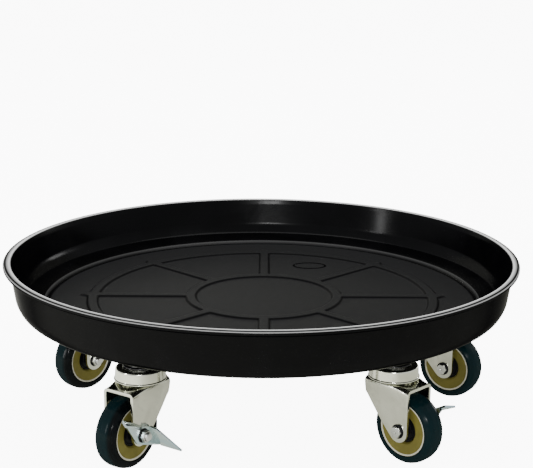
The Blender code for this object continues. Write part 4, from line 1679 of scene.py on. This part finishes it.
@dataclass
class BrakeLever:
    """Brake lever: a plate on the axle with two wings whose edges are folded outwards."""

    finishes: Finishes
    trail: float = CASTER_TRAIL
    axle_height: float = AXLE_HEIGHT
    inner: float = 12.9 * MM
    thickness: float = 1.5 * MM

    def slab(self, name: str, corners: Sequence[Vector]) -> bpy.types.Mesh:
        """Return a flat slab around a polygon, half its thickness to each side.

        Args:
            name: the mesh's name.
            corners: the polygon, in order.

        Returns:
            The mesh.
        """
        normal = (corners[1] - corners[0]).cross(corners[-1] - corners[0]).normalized()
        bm = bmesh.new()
        sides = [[bm.verts.new(point + normal * shift) for point in corners]
                 for shift in (-self.thickness / 2, self.thickness / 2)]
        bm.faces.new(sides[0])
        bm.faces.new(sides[1])
        for k, vert in enumerate(sides[0]):
            after = (k + 1) % len(corners)
            bm.faces.new((vert, sides[0][after], sides[1][after], sides[1][k]))
        return finish_mesh(bm, name)

    def mesh(self) -> bpy.types.Mesh:
        """Return the lever in the caster's own frame.

        Returns:
            The mesh.
        """
        middle = self.inner + self.thickness / 2
        tip, crown = Vector((34.5, 0, 41.5)) * MM, Vector((17, 0, 32)) * MM
        fold_top, fold_bottom = Vector((7, 0, 28.6)) * MM, Vector((-4, 0, 11.5)) * MM
        heel = Vector((21, 0, 20.5)) * MM
        points = (tip, crown, fold_top, fold_bottom, heel)
        outline = fillet_path([(point.x, -point.z, rounding * MM)
                               for point, rounding in zip(points, (1.0, 2.0, 1.0, 1.0, 2.4))],
                              closed=True, steps=5)
        plate = prism_mesh("lever_plate", outline, self.inner, self.inner + self.thickness)
        plate.transform(ALONG_AXLE)
        root = Vector((0, middle, 0))
        flange = self.slab("lever_flange", [tip + root, crown + root,
                                            crown + root + Vector((1.4, 2.3, -0.35)) * MM,
                                            tip + root + Vector((4, 6.5, -1)) * MM])
        pedal = self.slab("lever_pedal", [fold_bottom + root, fold_top + root,
                                          fold_top + root + Vector((-1.1, 4.5, -1)) * MM,
                                          fold_bottom + root + Vector((-2.5, 16, -1.4)) * MM])
        whole = combined(plate, [flange, pedal], "UNION")
        hole = prism_mesh("lever_hole", circle(AXLE_BORE, 40), self.inner - 4 * MM,
                          self.inner + 6 * MM)
        hole.transform(Matrix.Translation((self.trail, 0, self.axle_height)) @ ALONG_AXLE)
        return eased(combined(whole, [hole], "DIFFERENCE"), 0.32 * MM, 2, 30)

    def build(self, place: CasterPlace, shape: bpy.types.Mesh) -> None:
        """Place one lever, mirrored for a brake on the other side.

        Args:
            place: where the caster stands and how it is turned.
            shape: the lever in the caster's own frame.
        """
        name = place.name
        flip = Matrix.Scale(-1, 4, (0, 1, 0)) if place.brake is BrakeSide.RIGHT else Matrix.Identity(4)
        deliver(f"lever_{name}", moved(shape, place.matrix @ flip, f"lever_{name}"),
                [self.finishes["blue_zinc_plate"]], f"brake_{name}", [f"brake_lever_{name}"])


@dataclass
class CasterSet:
    """All the casters."""

    finishes: Finishes
    places: Sequence[CasterPlace]
    trail: float = CASTER_TRAIL
    axle_height: float = AXLE_HEIGHT

    def build(self, balls: RepeatTree, thread: RepeatTree) -> None:
        """Make every caster's pieces.

        Args:
            balls: the tree that makes a ring of balls.
            thread: the tree that makes a screw thread.
        """
        fork = Fork(self.finishes)
        fork_shape = fork.mesh()
        lever = BrakeLever(self.finishes)
        lever_shape = lever.mesh()
        mount = StemMount(self.finishes)
        head = SwivelHead(self.finishes, balls)
        axle = Axle(self.finishes, thread)
        wheel = Wheel(self.finishes)
        for place in self.places:
            axle_matrix = place.matrix @ Matrix.Translation((self.trail, 0, self.axle_height))
            mount.build(place)
            head.build(place)
            fork.build(place, fork_shape)
            axle.build(place, axle_matrix)
            wheel.build(place, axle_matrix)
            if place.brake is not BrakeSide.NONE:
                lever.build(place, lever_shape)
            log.info("caster %s done", place.name)


# ---- studio -------------------------------------------------------------------------------------
@dataclass
class Studio:
    """Pale floor, soft lights and the camera."""

    rim_radius: float = RIM_RADIUS
    rim_top: float = RIM_TOP
    frame_width: int = 533
    eye: tuple[float, float, float] = (-0.0022, -4.7913, 1.2609)
    yaw: float = 3.299
    pitch: float = 14.696
    roll: float = 1.261
    focal: float = 1254.7
    shift: tuple[float, float] = (-0.1263, 0.0338)
    floor_glow: tuple[float, float] = (10.0, 1.0)

    def floor(self) -> None:
        """Make the floor, which curves up into a backdrop far behind."""
        bm = bmesh.new()
        path = fillet_path([(-4.0, 0.0, 0), (6.0, 0.0, 2.0), (6.0, 6.0, 0)], closed=False, steps=24)
        rows = [[bm.verts.new((x, y, z)) for x in (-9.0, 9.0)] for y, z in path]
        for low, high in zip(rows, rows[1:]):
            bm.faces.new((low[0], low[1], high[1], high[0]))
        mesh = finish_mesh(bm, "floor", 60)
        material, build, shader = start_material("pale_floor")
        place = build.add("ShaderNodeTexCoord").outputs["Object"]
        mottle = build.add("ShaderNodeTexNoise", {"Vector": place, "Scale": 1.2, "Detail": 2.0})
        color = build.mix(mottle.outputs["Fac"], (0.90, 0.90, 0.90, 1), (0.93, 0.93, 0.93, 1))
        # Painted reflection: glossy rays see a darker, warmer floor that darkens towards the right and
        # glows faintly. Camera rays see it evenly bright.
        path_kind = build.add("ShaderNodeLightPath")
        to_right = build.add("ShaderNodeSeparateXYZ", {"Vector": place}).outputs["X"]
        painted_reflection_tone = build.mix(build.span(to_right, -0.4, 0.4), (0.80, 0.80, 0.72, 1),
                                (0.34, 0.34, 0.29, 1))
        color = build.mix(path_kind.outputs["Is Glossy Ray"], color, painted_reflection_tone)
        mirrored = build.math("MULTIPLY", path_kind.outputs["Is Glossy Ray"], self.floor_glow[1])
        seen = build.math("MULTIPLY", path_kind.outputs["Is Camera Ray"], self.floor_glow[0])
        build.tree.links.new(color, shader.inputs["Base Color"])
        build.tree.links.new(color, shader.inputs["Emission Color"])
        build.tree.links.new(build.math("ADD", seen, mirrored), shader.inputs["Emission Strength"])
        shader.inputs["Roughness"].default_value = 0.9
        shader.inputs["Specular IOR Level"].default_value = 0.1
        mesh.materials.append(material)
        item = bpy.data.objects.new("floor", mesh)
        bpy.context.scene.collection.objects.link(item)

    @staticmethod
    def area_light(name: str, place: Sequence[float], target: Sequence[float], size: Point,
                   power: float) -> None:
        """Add a soft rectangular light that looks at a target.

        Args:
            name: the light's name.
            place: where it stands.
            target: the point that it looks at.
            size: width and height.
            power: watts.
        """
        light = bpy.data.lights.new(name, "AREA")
        light.shape = "RECTANGLE"
        light.size, light.size_y = size
        light.energy = power
        item = bpy.data.objects.new(name, light)
        item.location = place
        direction = Vector(target) - Vector(place)
        item.rotation_euler = direction.to_track_quat("-Z", "Y").to_euler()
        bpy.context.scene.collection.objects.link(item)

    def lights(self) -> None:
        """Light the set softly from above, the front, the left and behind on the right."""
        self.area_light("overhead", (0.1, 0.3, 2.6), (0, 0, 0), (2.4, 1.6), 40)
        self.area_light("front_window", (-0.12, -2.4, 0.95), (0, 0, 0.05), (0.42, 0.16), 26)
        self.area_light("left_strip", (-2.2, -1.1, 0.7), (0, 0, 0.05), (0.14, 1.0), 16)
        self.area_light("back_window", (2.1, 1.7, 0.75), (0, 0, 0.1), (0.5, 0.6), 16)
        world = bpy.data.worlds.new("studio")
        bpy.context.scene.world = world
        world.use_nodes = True
        background = world.node_tree.nodes["Background"]
        background.inputs["Color"].default_value = (0.97, 0.98, 1.0, 1)
        build = NodeBuilder(world.node_tree)
        seen = build.add("ShaderNodeLightPath").outputs["Is Camera Ray"]
        strength = build.math("ADD", 1.0, build.math("MULTIPLY", seen, self.floor_glow[0]))
        build.tree.links.new(strength, background.inputs["Strength"])

    def camera(self) -> None:
        """Place the camera at the view from the front, a little above the rim."""
        yaw, pitch, roll = (math.radians(value) for value in (self.yaw, self.pitch, self.roll))
        ahead = Vector((math.sin(yaw) * math.cos(pitch), math.cos(yaw) * math.cos(pitch),
                        -math.sin(pitch)))
        level = ahead.cross(Vector((0, 0, 1))).normalized()
        upright = level.cross(ahead)
        right = level * math.cos(roll) + upright * math.sin(roll)
        above = upright * math.cos(roll) - level * math.sin(roll)
        data = bpy.data.cameras.new("camera")
        data.sensor_width = 36.0
        data.lens = self.focal / self.frame_width * data.sensor_width
        data.shift_x, data.shift_y = self.shift
        item = bpy.data.objects.new("camera", data)
        rotation = Matrix((right, above, -ahead)).transposed().to_4x4()
        eye = Vector(self.eye) * self.rim_radius + Vector((0, 0, self.rim_top))
        item.matrix_world = Matrix.Translation(eye) @ rotation
        bpy.context.scene.collection.objects.link(item)
        bpy.context.scene.camera = item

    def build(self) -> None:
        """Make the floor, the lights and the camera."""
        self.floor()
        self.lights()
        self.camera()


def main() -> None:
    """Build the caddy around the frame, piece by piece."""
    logging.basicConfig(level=logging.INFO, format="%(name)s: %(message)s")
    for item in list(bpy.data.objects):
        bpy.data.objects.remove(item, do_unlink=True)
    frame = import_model()
    Studio().build()
    finishes = Finishes()
    finishes.build()
    names = [body[len("swivel_"):] for body in sorted(frame["bodies"]) if body.startswith("swivel_")]
    places = [CasterPlace.from_frame(frame, name) for name in names]
    Tray(finishes, [place.spot for place in places]).build(radial_rib_tree())
    CasterSet(finishes, places).build(ball_ring_tree(), thread_tree())
    log.info("all pieces are made")


if __name__ == "__main__":
    main()
